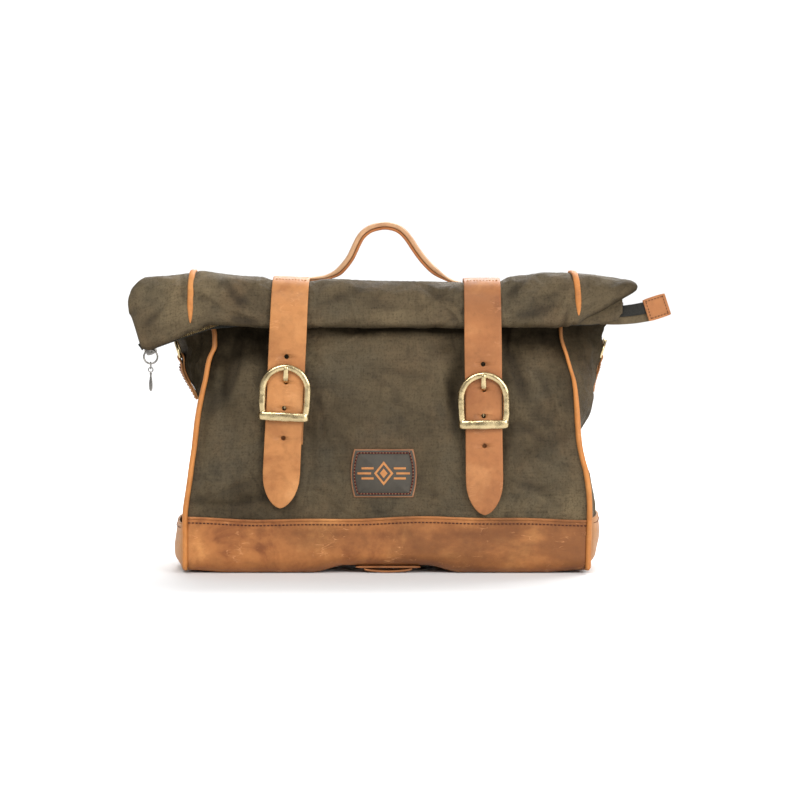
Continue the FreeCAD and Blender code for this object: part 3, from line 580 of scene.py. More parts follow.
def leather(name, dark, middle, light, patina=0.0, scratches=0.0, rough=(0.42, 0.62), grain_size=0.0011, bands=()):
    """Oiled leather with pores, soft clouds of colour, rubbed pale scuffs and, on old pieces, dark patina."""
    n = Nodes(name)
    clouds = n.noise(0.045, 5, 0.6, distortion=0.4)
    base = n.ramp(clouds, [(0.28, dark), (0.5, middle), (0.74, light)])
    fine = n.noise(0.006, 6, 0.65)
    base = n.blend(1.0, base, n.blend(n.span(fine, 0.25, 0.75, 0.80, 1.17), (0, 0, 0), (1, 1, 1)), "MULTIPLY")
    if patina:
        stain = n.ramp(n.noise(0.10, 6, 0.62, n.coords(scale=(0.8, 1, 1.3)), 0.2), [(0.42, (0, 0, 0)), (0.66, (1, 1, 1))])
        base = n.blend(n.math("MULTIPLY", stain, patina), base, tuple(0.42 * c for c in dark))
        streak = n.ramp(n.noise(0.012, 5, 0.7, n.coords(scale=(0.5, 1, 1.6)), 0.1), [(0.48, (0, 0, 0)), (0.72, (1, 1, 1))])
        base = n.blend(n.math("MULTIPLY", streak, 0.45 * patina), base, tuple(0.6 * c for c in middle))
    for height, reach, strength, wide in bands:
        # a darker stripe at one height, broken up by the stains
        across, up = axes(n)
        away = n.math("ABSOLUTE", n.math("SUBTRACT", n.span(up, 0.0, 0.1), height / 0.1))
        stripe = n.span(away, reach / 0.1, 0.0)
        stripe = n.math("MULTIPLY", stripe, n.span(n.math("ABSOLUTE", across), 1.35 * wide, 0.55 * wide))
        stripe = n.math("MULTIPLY", stripe, n.span(n.noise(0.03, 5, 0.7), 0.35, 0.65, 0.35, 1.0))
        base = n.blend(n.math("MULTIPLY", stripe, strength), base, tuple(0.5 * c for c in dark))
    if scratches:
        marks = None
        for turn, size in ((0.7, 0.03), (-0.5, 0.045), (1.2, 0.025)):
            field = n.noise(size, 2, 0.4, n.coords(scale=(1, 1, 4), turn=(0, turn, 0)), 0.6)
            mark = n.math("SUBTRACT", 1.0, n.math("MULTIPLY", n.math("ABSOLUTE", n.math("SUBTRACT", field, 0.5)), 90.0),
                          clamp=True)
            marks = mark if marks is None else n.math("MAXIMUM", marks, mark)
        gate = n.ramp(n.noise(0.02, 4, 0.6), [(0.55, (0, 0, 0)), (0.66, (1, 1, 1))])
        marks = n.math("MULTIPLY", marks, gate)
        base = n.blend(n.math("MULTIPLY", marks, scratches), base, tuple(min(1, 1.25 * c + 0.05) for c in light))
    # painted shade: pieces with a shade value are darkened where shade falls on them
    shade = n.add("ShaderNodeAttribute")
    shade.attribute_name = "shade"
    base = n.blend(n.math("MULTIPLY", shade.outputs["Fac"], 0.85), base, tuple(0.22 * c for c in dark))
    cells = n.add("ShaderNodeTexVoronoi", Scale=1 / grain_size)
    cells.feature = "DISTANCE_TO_EDGE"
    n.link(n.coords(), cells.inputs["Vector"])
    pores = n.span(cells.outputs["Distance"], 0.0, 0.25)
    normal = n.bump(pores, 0.18, 0.00025)
    normal = n.bump(n.noise(0.009, 5, 0.6), 0.25, 0.0008, normal)
    return n.finish(base, n.span(fine, 0.3, 0.7, *rough), normal, Specular_IOR_Level=0.28)


def aged_metal(name, bright, dark, rough=(0.22, 0.42), dents=0.3):
    """Cast metal with worn bright faces and dark tarnish in the hollows."""
    n = Nodes(name)
    shape = n.add("ShaderNodeNewGeometry")
    edge = n.span(shape.outputs["Pointiness"], 0.44, 0.54)
    tarnish = n.noise(0.011, 4, 0.6)
    worn = n.math("ADD", edge, n.span(tarnish, 0.35, 0.65, -0.10, 0.45), clamp=True)
    base = n.blend(worn, dark, bright)
    normal = n.bump(n.noise(0.0055, 2, 0.4), dents, 0.0009)
    normal = n.bump(n.noise(0.0006, 3, 0.6), 0.08, 0.0002, normal)
    return n.finish(base, n.span(tarnish, 0.3, 0.7, *rough), normal, Metallic=1.0)


def woven_tape(name, colour, pitch=0.5 * MM):
    """Narrow woven tape."""
    n = Nodes(name)
    fibre = n.noise(0.0009, 3, 0.6)
    base = n.ramp(fibre, [(0.3, tuple(0.6 * c for c in colour)), (0.7, tuple(1.4 * c for c in colour))])
    return n.finish(base, 0.85, n.bump(fibre, 0.5, 0.0003), Sheen_Weight=0.03, Specular_IOR_Level=0.2)


def plain_plastic(name, colour):
    n = Nodes(name)
    grain = n.noise(0.002, 3, 0.5)
    base = n.ramp(grain, [(0.3, tuple(0.8 * c for c in colour)), (0.7, tuple(1.2 * c for c in colour))])
    return n.finish(base, n.span(grain, 0.3, 0.7, 0.45, 0.6), n.bump(grain, 0.1, 0.0003))


def studio_floor():
    n = Nodes("studio_floor")
    tone = n.noise(0.5, 2, 0.5)
    base = n.ramp(tone, [(0.3, (0.82, 0.82, 0.82)), (0.7, (0.84, 0.84, 0.84))])
    return n.finish(base, 0.6, Specular_IOR_Level=0.1)


CANVAS = waxed_canvas()
STRAP_LEATHER = leather("strap_leather", (0.34, 0.130, 0.040), (0.47, 0.198, 0.064), (0.57, 0.265, 0.097), 0.24, 0.3)
WORN_LEATHER = leather("worn_strap_leather", (0.25, 0.086, 0.028), (0.36, 0.139, 0.047), (0.46, 0.198, 0.072), 0.36, 0.35)
PIPING_LEATHER = leather("piping_leather", (0.38, 0.135, 0.030), (0.50, 0.190, 0.048), (0.60, 0.26, 0.075), 0.10, 0.2)
BASE_LEATHER = leather("base_leather", (0.21, 0.066, 0.019), (0.40, 0.152, 0.044), (0.58, 0.252, 0.077), 0.66, 0.45,
                       bands=((0.038, 0.018, 0.70, 0.125), (0.004, 0.012, 0.5, 0.3)))
HANDLE_LEATHER = leather("handle_leather", (0.42, 0.215, 0.105), (0.53, 0.300, 0.155), (0.62, 0.385, 0.215), 0.12, 0.2)
RIM_LEATHER = leather("rim_leather", (0.20, 0.082, 0.036), (0.29, 0.130, 0.060), (0.38, 0.185, 0.090), 0.2, 0.3)
LABEL_LEATHER = leather("label_leather", (0.050, 0.043, 0.034), (0.068, 0.059, 0.046), (0.095, 0.082, 0.064), 0.1, 0.2,
                        rough=(0.6, 0.8), grain_size=0.0016)
# the side bands: the base's leather painted lighter, as painted light where the sides are strongly lit
LIT_BAND_LEATHER = leather("band_leather_painted_light", (0.33, 0.130, 0.040), (0.45, 0.200, 0.064), (0.57, 0.285, 0.105), 0.35, 0.4)
# the handle's lower layer: a darker leather, painted shade for the handle's shaded inner face
HANDLE_SHADE_LEATHER = leather("handle_leather_painted_shade", (0.30, 0.095, 0.024), (0.37, 0.130, 0.036), (0.45, 0.175, 0.055), 0.1, 0.1)
BRASS = aged_metal("antique_brass", (0.62, 0.49, 0.27), (0.16, 0.108, 0.045), (0.18, 0.34), 0.35)
NICKEL = aged_metal("nickel", (0.25, 0.235, 0.215), (0.045, 0.042, 0.038), (0.2, 0.34), 0.1)
TAPE = woven_tape("zip_tape", (0.020, 0.019, 0.016))
LINING = woven_tape("lining_cloth", (0.20, 0.17, 0.12))
THREAD_DARK = woven_tape("thread_dark", (0.085, 0.028, 0.015))
THREAD_TAN = woven_tape("thread_tan", (0.33, 0.17, 0.075))
THREAD_RED = woven_tape("thread_red", (0.075, 0.014, 0.010))
BOARD = plain_plastic("stiffener", (0.04, 0.04, 0.04))


def wear(obj, material):
    """Gives a piece one material."""
    obj.data.materials.clear()
    obj.data.materials.append(material)
    return obj


def stitch_row(name, places, length, thickness, material):
    """A row of thread stitches. places holds (point, along, outward) for each."""
    verts, faces = [], []
    sides = 6
    for point, along, outward in places:
        side = along.cross(outward).normalized()
        start = len(verts)
        for k in range(5):
            t = k / 4
            r = thickness / 2 * max(0.25, math.sin(math.pi * mix(0.12, 0.88, t)))
            centre = point + along * (length * (t - 0.5)) + outward * (thickness * 0.35 * math.sin(math.pi * t))
            for s in range(sides):
                a = 2 * math.pi * s / sides
                verts.append(centre + side * (r * math.cos(a)) + outward * (r * math.sin(a)))
        for k in range(4):
            for s in range(sides):
                a, b = start + k * sides + s, start + k * sides + (s + 1) % sides
                faces.append((a, b, b + sides, a + sides))
        faces.append(tuple(start + s for s in reversed(range(sides))))
        faces.append(tuple(start + 4 * sides + s for s in range(sides)))
    obj = new_object(name, verts, faces)
    return wear(obj, material)


def along_path(points, pitch, outward):
    """Places for stitch_row() every pitch along a line of points."""
    places = []
    travelled, target = 0.0, pitch / 2
    for a, b in zip(points, points[1:]):
        span = (b - a).length
        while target <= travelled + span and span > 0:
            t = (target - travelled) / span
            p = a.lerp(b, t)
            direction = (b - a).normalized()
            out = outward(p) if callable(outward) else Vector(outward)
            places.append((p, direction, (out - direction * out.dot(direction)).normalized()))
            target += pitch
        travelled += span
    return places


# ---------------------------------------------------------------- the tub
def seam_curve(node):
    """x and y of a seam cord's middle as a function of z."""
    keys = [(t, (low.x + high.x) / 2, (low.y + high.y) / 2) for t, low, high in levels(node, 2)]
    return through(keys)


STRAP_PIVOT = {}
for joint in frame["joints"]:
    if joint["name"].endswith("_strap_lift"):
        word = joint["name"].split("_")[0]
        STRAP_PIVOT[word] = (Vector(joint["pos_m"]), -Vector(joint["axis"]))
BAR = {j["name"].split("_")[0]: Vector(j["pos_m"]) for j in frame["joints"] if j["name"].endswith("_buckle_rock")}
BAR_HOME_Z = 0.150
FRONT_SEAM = seam_curve("front_piping_right")
BACK_SEAM = seam_curve("back_piping_right")


def widest(node, step=0.017):
    """How far a node reaches in X at each height, from the corners near that height."""
    reach = {}
    for v in frame["nodes"][node].data.vertices:
        k = round(v.co.z / step)
        reach[k] = max(reach.get(k, 0.0), abs(v.co.x))
    return through([(k * step, reach[k]) for k in sorted(reach)])


GUSSET_MID = widest("right_gusset")
BASE_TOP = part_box("base_wrap")[1].z
TUB_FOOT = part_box("front_panel")[0].z
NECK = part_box("front_panel")[1].z


# how far the soft seams and gussets wander outward from their straight lines, by height
SEAM_DRIFT = {
    -1: through([(0.050, 0.0), (0.075, -0.0008), (0.098, -0.0022), (0.121, -0.0042), (0.150, -0.0050), (0.183, -0.0062),
                 (0.204, -0.0048), (0.215, -0.0063), (0.223, -0.0042), (0.229, -0.0028), (0.237, -0.0008)]),
    1: through([(0.0, 0.0015), (0.060, 0.0028), (0.086, 0.0036), (0.098, 0.0032), (0.109, 0.0014), (0.126, 0.0),
                (0.183, 0.0012), (0.195, 0.0), (0.206, -0.0010), (0.223, -0.0020), (0.235, -0.0015)]),
}
GUSSET_DRIFT = {
    -1: through([(0.050, -0.0030), (0.089, -0.0035), (0.104, -0.0055), (0.120, -0.0077), (0.135, -0.0100),
                 (0.154, -0.0110), (0.165, -0.0075), (0.173, -0.0040), (0.185, -0.0008), (0.202, 0.0050),
                 (0.218, 0.0060), (0.235, 0.0030)]),
    1: through([(0.050, 0.0040), (0.089, 0.0035), (0.104, 0.0002), (0.120, -0.0003), (0.130, -0.0013), (0.135, -0.0008),
                (0.142, 0.0033), (0.150, 0.0089), (0.158, 0.0119), (0.165, 0.0125), (0.180, 0.0101), (0.194, 0.0085),
                (0.211, 0.0104), (0.220, 0.0062), (0.229, 0.0023), (0.235, 0.0010)]),
}
RING_Z = next(j for j in frame["joints"] if j["name"] == "left_ring_swing")["pos_m"][2]


def seam_point(side, front, z):
    """Middle of a seam cord on one side (-1 left, +1 right), with the tub's small lean and sway."""
    x, y = (FRONT_SEAM if front else BACK_SEAM)(z)
    sway = 1.6 * MM * math.sin(z / 0.031 + (1.0 if side > 0 else 2.6)) * ease((z - 0.05) / 0.05)
    return Vector((side * (x + sway + SEAM_DRIFT[side](z)[0]) + SHIFT_X, y, z))


# folds as (x, z, direction, length, width, height)
FRONT_FOLDS = [
    (-163, 205, 74, 60, 7, 3.4), (-149, 200, 80, 70, 6, -3.4), (-134, 196, 100, 56, 6, 2.0), (-121, 214, 96, 34, 5, -1.8),
    (-168, 168, 82, 44, 5, -1.8), (-158, 78, 22, 62, 5, -2.2), (-150, 86, 28, 56, 5, 1.8), (-128, 70, 12, 44, 4, -1.4),
    (-176, 120, 80, 46, 5, 1.4), (-116, 150, 84, 60, 4, -1.6), (-66, 150, 97, 46, 4, -1.2), (-62, 205, 96, 40, 5, 1.2),
    (60, 160, 98, 54, 5, -2.2), (52, 168, 104, 50, 5, 1.7), (66, 128, 86, 40, 4, 1.2), (132, 198, 112, 58, 6, 2.6),
    (120, 192, 108, 54, 6, -2.4), (148, 176, 118, 52, 5, -2.2), (158, 160, 114, 44, 5, 1.9), (126, 150, 140, 56, 5, 1.5),
    (140, 132, 146, 50, 5, -1.6), (150, 100, 152, 52, 5, 1.4), (132, 84, 158, 44, 4, -1.3), (-20, 206, 178, 56, 5, 1.0),
    (16, 190, 172, 48, 4, -0.9), (-10, 140, 8, 70, 6, 0.9), (30, 80, 166, 46, 5, -0.8), (112, 226, 90, 20, 4, -1.6),
]
BACK_FOLDS = folds_by_cell([(-x, z, 180 - a, l, w, 0.8 * h) for x, z, a, l, w, h in FRONT_FOLDS if z > 70])
FRONT_FOLDS = folds_by_cell(FRONT_FOLDS)
SMALL_FRONT = small_creases(150, (-185, 180), (50, 235), 0.5, 3)
SMALL_BACK = small_creases(150, (-185, 180), (50, 250), 0.5, 4)
# painted shade spots on the front canvas, under the roll's overhang, in fold hollows and beside the straps, as (x, z,
# half width, half height, strength)
PAINTED_SHADE_SPOTS = [
    (-150, 228, 48, 11, 1.0), (-172, 214, 20, 12, 0.75), (-140, 210, 26, 10, 0.5), (-170, 186, 6, 26, 0.55),
    (-158, 180, 5, 24, 0.45), (-150, 156, 9, 12, 0.3), (-162, 68, 26, 3, 0.5), (-138, 74, 14, 4, 0.4),
    (-118, 150, 4, 70, 0.45), (-72, 150, 4, 60, 0.35), (140, 230, 46, 9, 1.0), (170, 214, 22, 13, 0.8),
    (128, 212, 16, 9, 0.55), (60, 178, 7, 22, 0.65), (66, 140, 5, 24, 0.55), (54, 214, 8, 10, 0.4),
    (-140, 224, 58, 15, 0.8), (-168, 200, 26, 24, 0.5), (134, 226, 54, 12, 0.7), (172, 196, 16, 22, 0.4),
    (-176, 150, 5, 40, 0.4), (70, 200, 10, 20, 0.5), (-116, 190, 6, 30, 0.4), (0, 236, 190, 3.0, 0.8),
    (110, 150, 4, 70, 0.5), (2, 232, 70, 2.4, 1.0), (-35, 229, 16, 3, 0.8), (50, 232, 30, 3, 0.8),
]
SMALL_SIDE = small_creases(90, (-66, 66), (50, 250), 1.0, 5, 80)


def flat_panel(name, side, node):
    """Front (side -1) or back (side +1) canvas between its seams."""
    front = side < 0
    z0, z1 = TUB_FOOT, NECK
    folds = FRONT_FOLDS if front else BACK_FOLDS
    small = SMALL_FRONT if front else SMALL_BACK
    label_low, label_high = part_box("label_patch")
    label_mid = (label_low + label_high) / 2
    snaps = [sum(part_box(f"snap_stud_{word}"), Vector()) / 2 for word in BAR]

    def firm(x, z):
        """1 behind the label and the straps, where the cloth stays flat."""
        if not front:
            return 0.0
        label = ease((48 * MM - abs(x - label_mid.x)) / (12 * MM)) * ease((38 * MM - abs(z - label_mid.z)) / (12 * MM))
        strap = max(ease((24 * MM - abs(x - BAR[w].x)) / (8 * MM)) for w in BAR)
        return max(label, strap)

    def point(u, v):
        z = mix(z0, z1, v)
        left, right = seam_point(-1, front, z), seam_point(1, front, z)
        a, b = (left, right) if front else (right, left)
        p = a.lerp(b, u)
        belly = math.sin(math.pi * u) ** 0.5
        near_seam = ease(math.sin(math.pi * u) / 0.10)
        fullness = 2.4 * MM * belly * spot(z, 0.13, 0.08)
        if front:
            middle = ease((118 * MM - abs(p.x + 6 * MM)) / (34 * MM))
            fullness += 6.5 * MM * middle * spot(z, 0.219, 0.020) - 3.5 * MM * (1 - middle) * spot(z, 0.226, 0.018)
            fullness *= 1 - 0.9 * sum(spot(p.x, c.x, 14 * MM) * spot(z, c.z, 12 * MM) for c in snaps)
        soft = 1 - 0.85 * firm(p.x, z)
        folded = relief(p.x, z, folds) + relief(p.x, z, small) + 0.9 * MM * hum(p, 0.05, 3.0 + side)
        folded = max(folded, (-2.6 if front else -0.8) * MM)
        p.y += side * (fullness - 1.0 * MM + near_seam * soft * ease((z - z0) / 0.012) * folded)
        return p

    obj = sheet(name, point, 230, 130, (0.38, z1 - z0))
    rub_and_shade(obj, lambda co: (relief(co.x, co.z, folds) * 0.7 + relief(co.x, co.z, small)) / MM)
    if front:
        # painted shade on the front canvas: under the roll, in fold hollows and beside the straps
        store(obj, "shade", lambda co: min(1.0, sum(k * spot(co.x / MM, cx, rx) * spot(co.z / MM, cz, rz)
                                                    for cx, cz, rx, rz, k in PAINTED_SHADE_SPOTS)))

    def held(i, co):
        near_side = min(abs(co.x - seam_point(-1, front, co.z).x), abs(co.x - seam_point(1, front, co.z).x))
        edge = min(near_side, co.z - z0, z1 - co.z)
        return max(1.0 - 0.97 * ease(edge / (14 * MM)), firm(co.x, co.z))

    crumple(obj, held, 0.02, (1.6 if front else 0.8) * MM, 10)
    thicken(obj, CANVAS_T)
    wear(obj, CANVAS)
    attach(obj, BAG)
    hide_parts(node)
    return obj


def gusset_point(side, u, z, inward=0.0):
    """Side canvas from the front seam (u = 0) round its fold to the back seam (u = 1)."""
    a, b = seam_point(side, True, z), seam_point(side, False, z)
    base_x = abs(mix(a.x, b.x, u) - SHIFT_X)
    peak = 0.5 - (0.16 * ease((z - 0.115) / 0.035) if side > 0 else 0.0)
    t = 0.5 * u / peak if u < peak else 0.5 + 0.5 * (u - peak) / (1 - peak)
    box_like = max(0.0, math.sin(math.pi * t)) ** 0.55
    tent = 1 - abs(2 * t - 1) ** 1.25
    full = mix(box_like, tent, ease((z - 0.10) / 0.12))
    reach = max(1.5 * MM, GUSSET_MID(z)[0] + GUSSET_DRIFT[side](z)[0] - base_x)
    y = mix(a.y + inward, b.y - inward, u)
    if side < 0:
        # the cloth falls in behind the ring
        inward += 8 * MM * spot(y, 0.0, 20 * MM) * spot(z, RING_Z + 8 * MM, 17 * MM)
    return Vector((side * (base_x + reach * full - inward) + SHIFT_X, y, z))


def gusset(name, side, node):
    z0, z1 = TUB_FOOT, NECK

    def folds(y, z):
        return relief(y, z, SMALL_SIDE) + 2.0 * MM * math.sin(9 * (y / 0.12 + 0.5) + 34 * z + side) * ease((z - 0.08) / 0.1)

    def firm(y, z):
        """1 under the ring and its sewn tab."""
        return ease((23 * MM - abs(y - side * 8 * MM)) / (8 * MM)) * ease((38 * MM - abs(z - RING_Z + 14 * MM)) / (8 * MM))

    def point(u, v):
        z = mix(z0, z1, v)
        p = gusset_point(side, u, z)
        soft = 1 - 0.9 * firm(p.y, z)
        p.x += side * math.sin(math.pi * u) * soft * ease((z - z0) / 0.02) * (folds(p.y, z) + 1.4 * MM * hum(p, 0.04, 9.0))
        return p

    flip = side < 0
    obj = sheet(name, (lambda u, v: point(1 - u, v)) if flip else point, 90, 120, (0.14, z1 - z0))
    rub_and_shade(obj, lambda co: relief(co.y, co.z, SMALL_SIDE) / MM)
    # painted shade: each side darkens towards the top and the front, under the roll
    shade_from, shade_over = (0.080, 0.060) if side < 0 else (0.165, 0.065)
    store(obj, "shade", lambda co: (0.35 + 0.5 * ease((0.02 - co.y) / 0.04)) * ease((co.z - shade_from) / shade_over))

    def held(i, co):
        u = (co.y - seam_point(side, True, co.z).y)
        w = (seam_point(side, False, co.z).y - co.y)
        edge = min(u, w, co.z - z0, z1 - co.z)
        return max(1.0 - 0.96 * ease(edge / (12 * MM)), firm(co.y, co.z))

    crumple(obj, held, 0.025, 2.0 * MM, 10)
    thicken(obj, CANVAS_T)
    wear(obj, CANVAS)
    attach(obj, BAG)
    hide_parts(node)
    return obj


def build_lining():
    """Inner tub a few millimetres inside the canvas."""
    low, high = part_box("lining")
    inward, front_inward = 6 * MM, 10 * MM
    rings = []
    for k in range(25):
        z = mix(low.z, high.z, k / 24)
        zc = max(z, TUB_FOOT)
        corners = [seam_point(s, f, zc) for s, f in ((-1, True), (1, True), (1, False), (-1, False))]
        ring = [corners[0].lerp(corners[1], t / 20) + Vector((0, front_inward, 0)) for t in range(1, 20)]
        ring += [gusset_point(1, t / 12, zc, inward) for t in range(13)]
        ring += [corners[2].lerp(corners[3], t / 20) - Vector((0, inward, 0)) for t in range(1, 20)]
        ring += [gusset_point(-1, 1 - t / 12, zc, inward) for t in range(13)]
        rings.append([Vector((p.x, p.y, z)) for p in ring])
    obj = tube("lining_tub", rings, caps=False)
    bottom = bmesh.new()
    bottom.from_mesh(obj.data)
    bottom.verts.ensure_lookup_table()
    bottom.faces.new([bottom.verts[i] for i in reversed(range(len(rings[0])))])
    bottom.to_mesh(obj.data)
    bottom.free()
    thicken(obj, 1.0 * MM)
    wear(obj, LINING)
    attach(obj, BAG)
    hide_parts("lining")


def seam_cord(name, side, front, node):
    """Leather piping: a cord along the seam."""
    z0, z1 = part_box(node)[0].z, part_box(node)[1].z
    count = 110
    rings = []
    for k in range(count + 1):
        z = mix(z0, z1, k / count)
        p = seam_point(side, front, z)
        p.y += (-0.6 if front else 0.6) * MM
        swell = (1 + 0.05 * hum(p, 0.012, 4.0)) * (1 - (0.34 if side > 0 else 0.10) * ease((z - 0.15) / 0.05))
        tip = math.sqrt(max(0.02, 1 - (1 - min(1.0, k / 2.0)) ** 2))
        rings.append([p + Vector((math.cos(a) * 2.65 * MM, math.sin(a) * 3.0 * MM, 0)) * swell * tip
                      for a in (2 * math.pi * i / 14 for i in range(14))])
    obj = tube(name, rings)
    # painted shade: the front cords darken near their tops under the roll, plus faint random darker blotches
    if front:
        store(obj, "shade", lambda co: 0.8 * ease((co.z - 0.208) / 0.014) + 0.25 * ease(0.4 * hum(co, 0.02, 21.0)))
    wear(obj, PIPING_LEATHER)
    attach(obj, BAG)
    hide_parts(node)
    return obj


def build_tub():
    flat_panel("front_canvas", -1, "front_panel")
    flat_panel("back_canvas", 1, "back_panel")
    build_lining()
    for side, word in ((-1, "left"), (1, "right")):
        gusset(f"{word}_side_canvas", side, f"{word}_gusset")
        seam_cord(f"front_cord_{word}", side, True, f"front_piping_{word}")
        seam_cord(f"back_cord_{word}", side, False, f"back_piping_{word}")


# ---------------------------------------------------------------- leather base
BASE_LOW, BASE_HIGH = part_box("base_wrap")
BASE_FEET = through([(t, low.z) for t, low, high in levels("base_wrap", 0, 0.6)])


def base_profile(v):
    """Side-on outline of the base, from the front top edge under to the back top edge: y and z from 0 to 1."""
    half = BASE_HIGH.y
    corner = 13 * MM
    height = BASE_TOP - corner
    quarter = math.pi / 2 * corner
    flat = 2 * (half - corner)
    total = 2 * height + 2 * quarter + flat
    s = v * total
    if s < height:
        return -half, BASE_TOP - s
    s -= height
    if s < quarter:
        a = s / corner
        return -half + corner * (1 - math.cos(a)), corner * (1 - math.sin(a))
    s -= quarter
    if s < flat:
        return -half + corner + s, 0.0
    s -= flat
    if s < quarter:
        a = s / corner
        return half - corner * (1 - math.sin(a)), corner * (1 - math.cos(a))
    s -= quarter
    return half, corner + s


def base_point(u, v, out=0.0):
    """Outer surface of the leather base."""
    y, z = base_profile(v)
    left, right = seam_point(-1, True, max(z, 0.004)), seam_point(1, True, max(z, 0.004))
    x = mix(left.x, right.x, u)
    foot = BASE_FEET(x - SHIFT_X)[0]
    z = z + foot * (1 - ease(z / (40 * MM)))
    side = -1 if y < 0 else 1
    upright = ease((z - 4 * MM) / (16 * MM))
    belly = math.sin(math.pi * min(1, max(0, u))) ** 0.5
    sag = 1.6 * MM * belly * spot(z, 0.020, 0.016) + 0.9 * MM * belly * hum((x, side, z), 0.06, 5.0)
    y += side * upright * (sag - 1.2 * MM * (1 - belly))
    # the upper edge dips and lifts a little along the seam
    edge = ease((z - 0.030) / 0.022)
    z += edge * (1.3 * MM * math.sin(x / 0.045 + 0.6) + 0.6 * MM * math.sin(x / 0.017))
    return Vector((x, y, z))


def build_base():
    inset = 0.006
    obj = sheet("base_leather_wrap", lambda u, v: base_point(mix(1 - inset, inset, u), v), 230, 130, (0.38, 0.24))
    thicken(obj, LEATHER_T)
    wear(obj, BASE_LEATHER)
    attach(obj, BAG)
    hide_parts("base_wrap")
    # stitching under the upper edge, front and back, and a rolled lip on the edge itself
    for word, v_line, v_edge in (("front", 0.0195, 0.0), ("back", 0.9805, 1.0)):
        out = Vector((0, -1 if word == "front" else 1, 0))
        line = [base_point(mix(inset, 1 - inset, k / 240), v_line) + out * 0.15 * MM for k in range(241)]
        row = stitch_row(f"base_stitches_{word}", along_path(line, 3.6 * MM, out), 2.7 * MM, 1.35 * MM,
                         THREAD_DARK)
        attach(row, BAG)
        edge = [base_point(mix(inset, 1 - inset, k / 120), v_edge) + out * 0.1 * MM for k in range(121)]
        lip = sweep(f"base_lip_{word}", edge, rounded(1.7 * MM, 2.6 * MM, 2.5, 10), up=(0, 0, 1))
        wear(lip, BASE_LEATHER)
        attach(lip, BAG)
    for side, word in ((-1, "left"), (1, "right")):
        side_band(side, word)


def side_band(side, word):
    """Leather band round the foot of a gusset."""
    low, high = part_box(f"base_side_{word}")
    top = high.z + (1.0 if side > 0 else -4.0) * MM

    def point(u, v):
        z = mix(low.z, top, v)
        a, b = seam_point(side, True, z), seam_point(side, False, z)
        full = math.sin(math.pi * u) ** 0.5
        reach = abs(high.x if side > 0 else low.x) - abs(a.x - SHIFT_X) + 1.5 * MM
        if side > 0:
            reach += 3.5 * MM * ease((z - 0.020) / 0.020) - 2.5 * MM * (1 - ease(z / 0.030))
        tuck = (9 if side > 0 else 5) * MM * (1 - ease(v / 0.25)) * full
        bulge = 3.0 * MM * spot(v, 0.42, 0.3) * full
        x = side * (abs(a.x - SHIFT_X) + reach * full + bulge - tuck) + SHIFT_X
        p = Vector((x, mix(a.y, b.y, u), z))
        p.x += side * 1.2 * MM * hum(p, 0.03, 2.0)
        return p

    flip = side < 0
    obj = sheet(f"base_side_band_{word}", (lambda u, v: point(1 - u, v)) if flip else point, 60, 30, (0.13, 0.05))
    thicken(obj, LEATHER_T)
    wear(obj, LIT_BAND_LEATHER)
    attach(obj, BAG)
    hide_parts(f"base_side_{word}")
    out = Vector((side, 0, 0))
    line = [point(mix(0.04, 0.96, k / 80), 0.90) + out * 0.2 * MM for k in range(81)]
    row = stitch_row(f"band_stitches_{word}", along_path(line, 3.4 * MM, out), 2.5 * MM, 0.75 * MM,
                     THREAD_DARK)
    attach(row, BAG)


# ---------------------------------------------------------------- folded collar
FLAP_LOW, FLAP_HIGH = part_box("collar_flap")
CREST_Y = FLAP_HIGH.y
ROLL_TOP = through([
    (-0.249, 0.266), (-0.2465, 0.272), (-0.240, 0.2785), (-0.233, 0.2825), (-0.218, 0.2835), (-0.199, 0.2860),
    (-0.181, 0.2885), (-0.165, 0.2868), (-0.142, 0.2842), (-0.122, 0.2830), (-0.110, 0.2800), (-0.094, 0.2785),
    (-0.074, 0.2795), (-0.058, 0.2812), (-0.030, 0.2800), (0.0, 0.2793), (0.040, 0.2786), (0.066, 0.2783),
    (0.087, 0.2775), (0.104, 0.2790), (0.116, 0.2832), (0.140, 0.2860), (0.155, 0.2872), (0.172, 0.2870),
    (0.200, 0.2842), (0.219, 0.2815), (0.230, 0.2795), (0.238, 0.2755)])
ROLL_FOOT = through([
    (-0.249, 0.247), (-0.2455, 0.240), (-0.2395, 0.222), (-0.2365, 0.2142), (-0.230, 0.2122), (-0.218, 0.2162),
    (-0.207, 0.2200), (-0.185, 0.2284), (-0.168, 0.2345), (-0.146, 0.2340), (-0.100, 0.2325), (-0.050, 0.2340),
    (0.0, 0.2335), (0.060, 0.2325), (0.100, 0.2335), (0.140, 0.2345), (0.176, 0.2350), (0.190, 0.2430),
    (0.205, 0.2520), (0.221, 0.2615), (0.230, 0.2665), (0.238, 0.2710)])
ROLL_FRONT = through([(-0.249, 0.0605), (-0.240, 0.0655), (-0.215, 0.0690), (-0.120, 0.0700), (0.0, 0.0695),
                      (0.120, 0.0700), (0.185, 0.0690), (0.215, 0.0660), (0.230, 0.0625), (0.238, 0.0590)])
ROLL_BACK = through([(-0.249, 0.046), (-0.240, 0.030), (-0.220, 0.020), (-0.180, 0.0175), (0.18, 0.0175),
                     (0.205, 0.021), (0.225, 0.036), (0.238, 0.050)])
ROLL_INNER = through([(-0.249, 0.0555), (-0.235, 0.054), (0.21, 0.054), (0.238, 0.0545)])


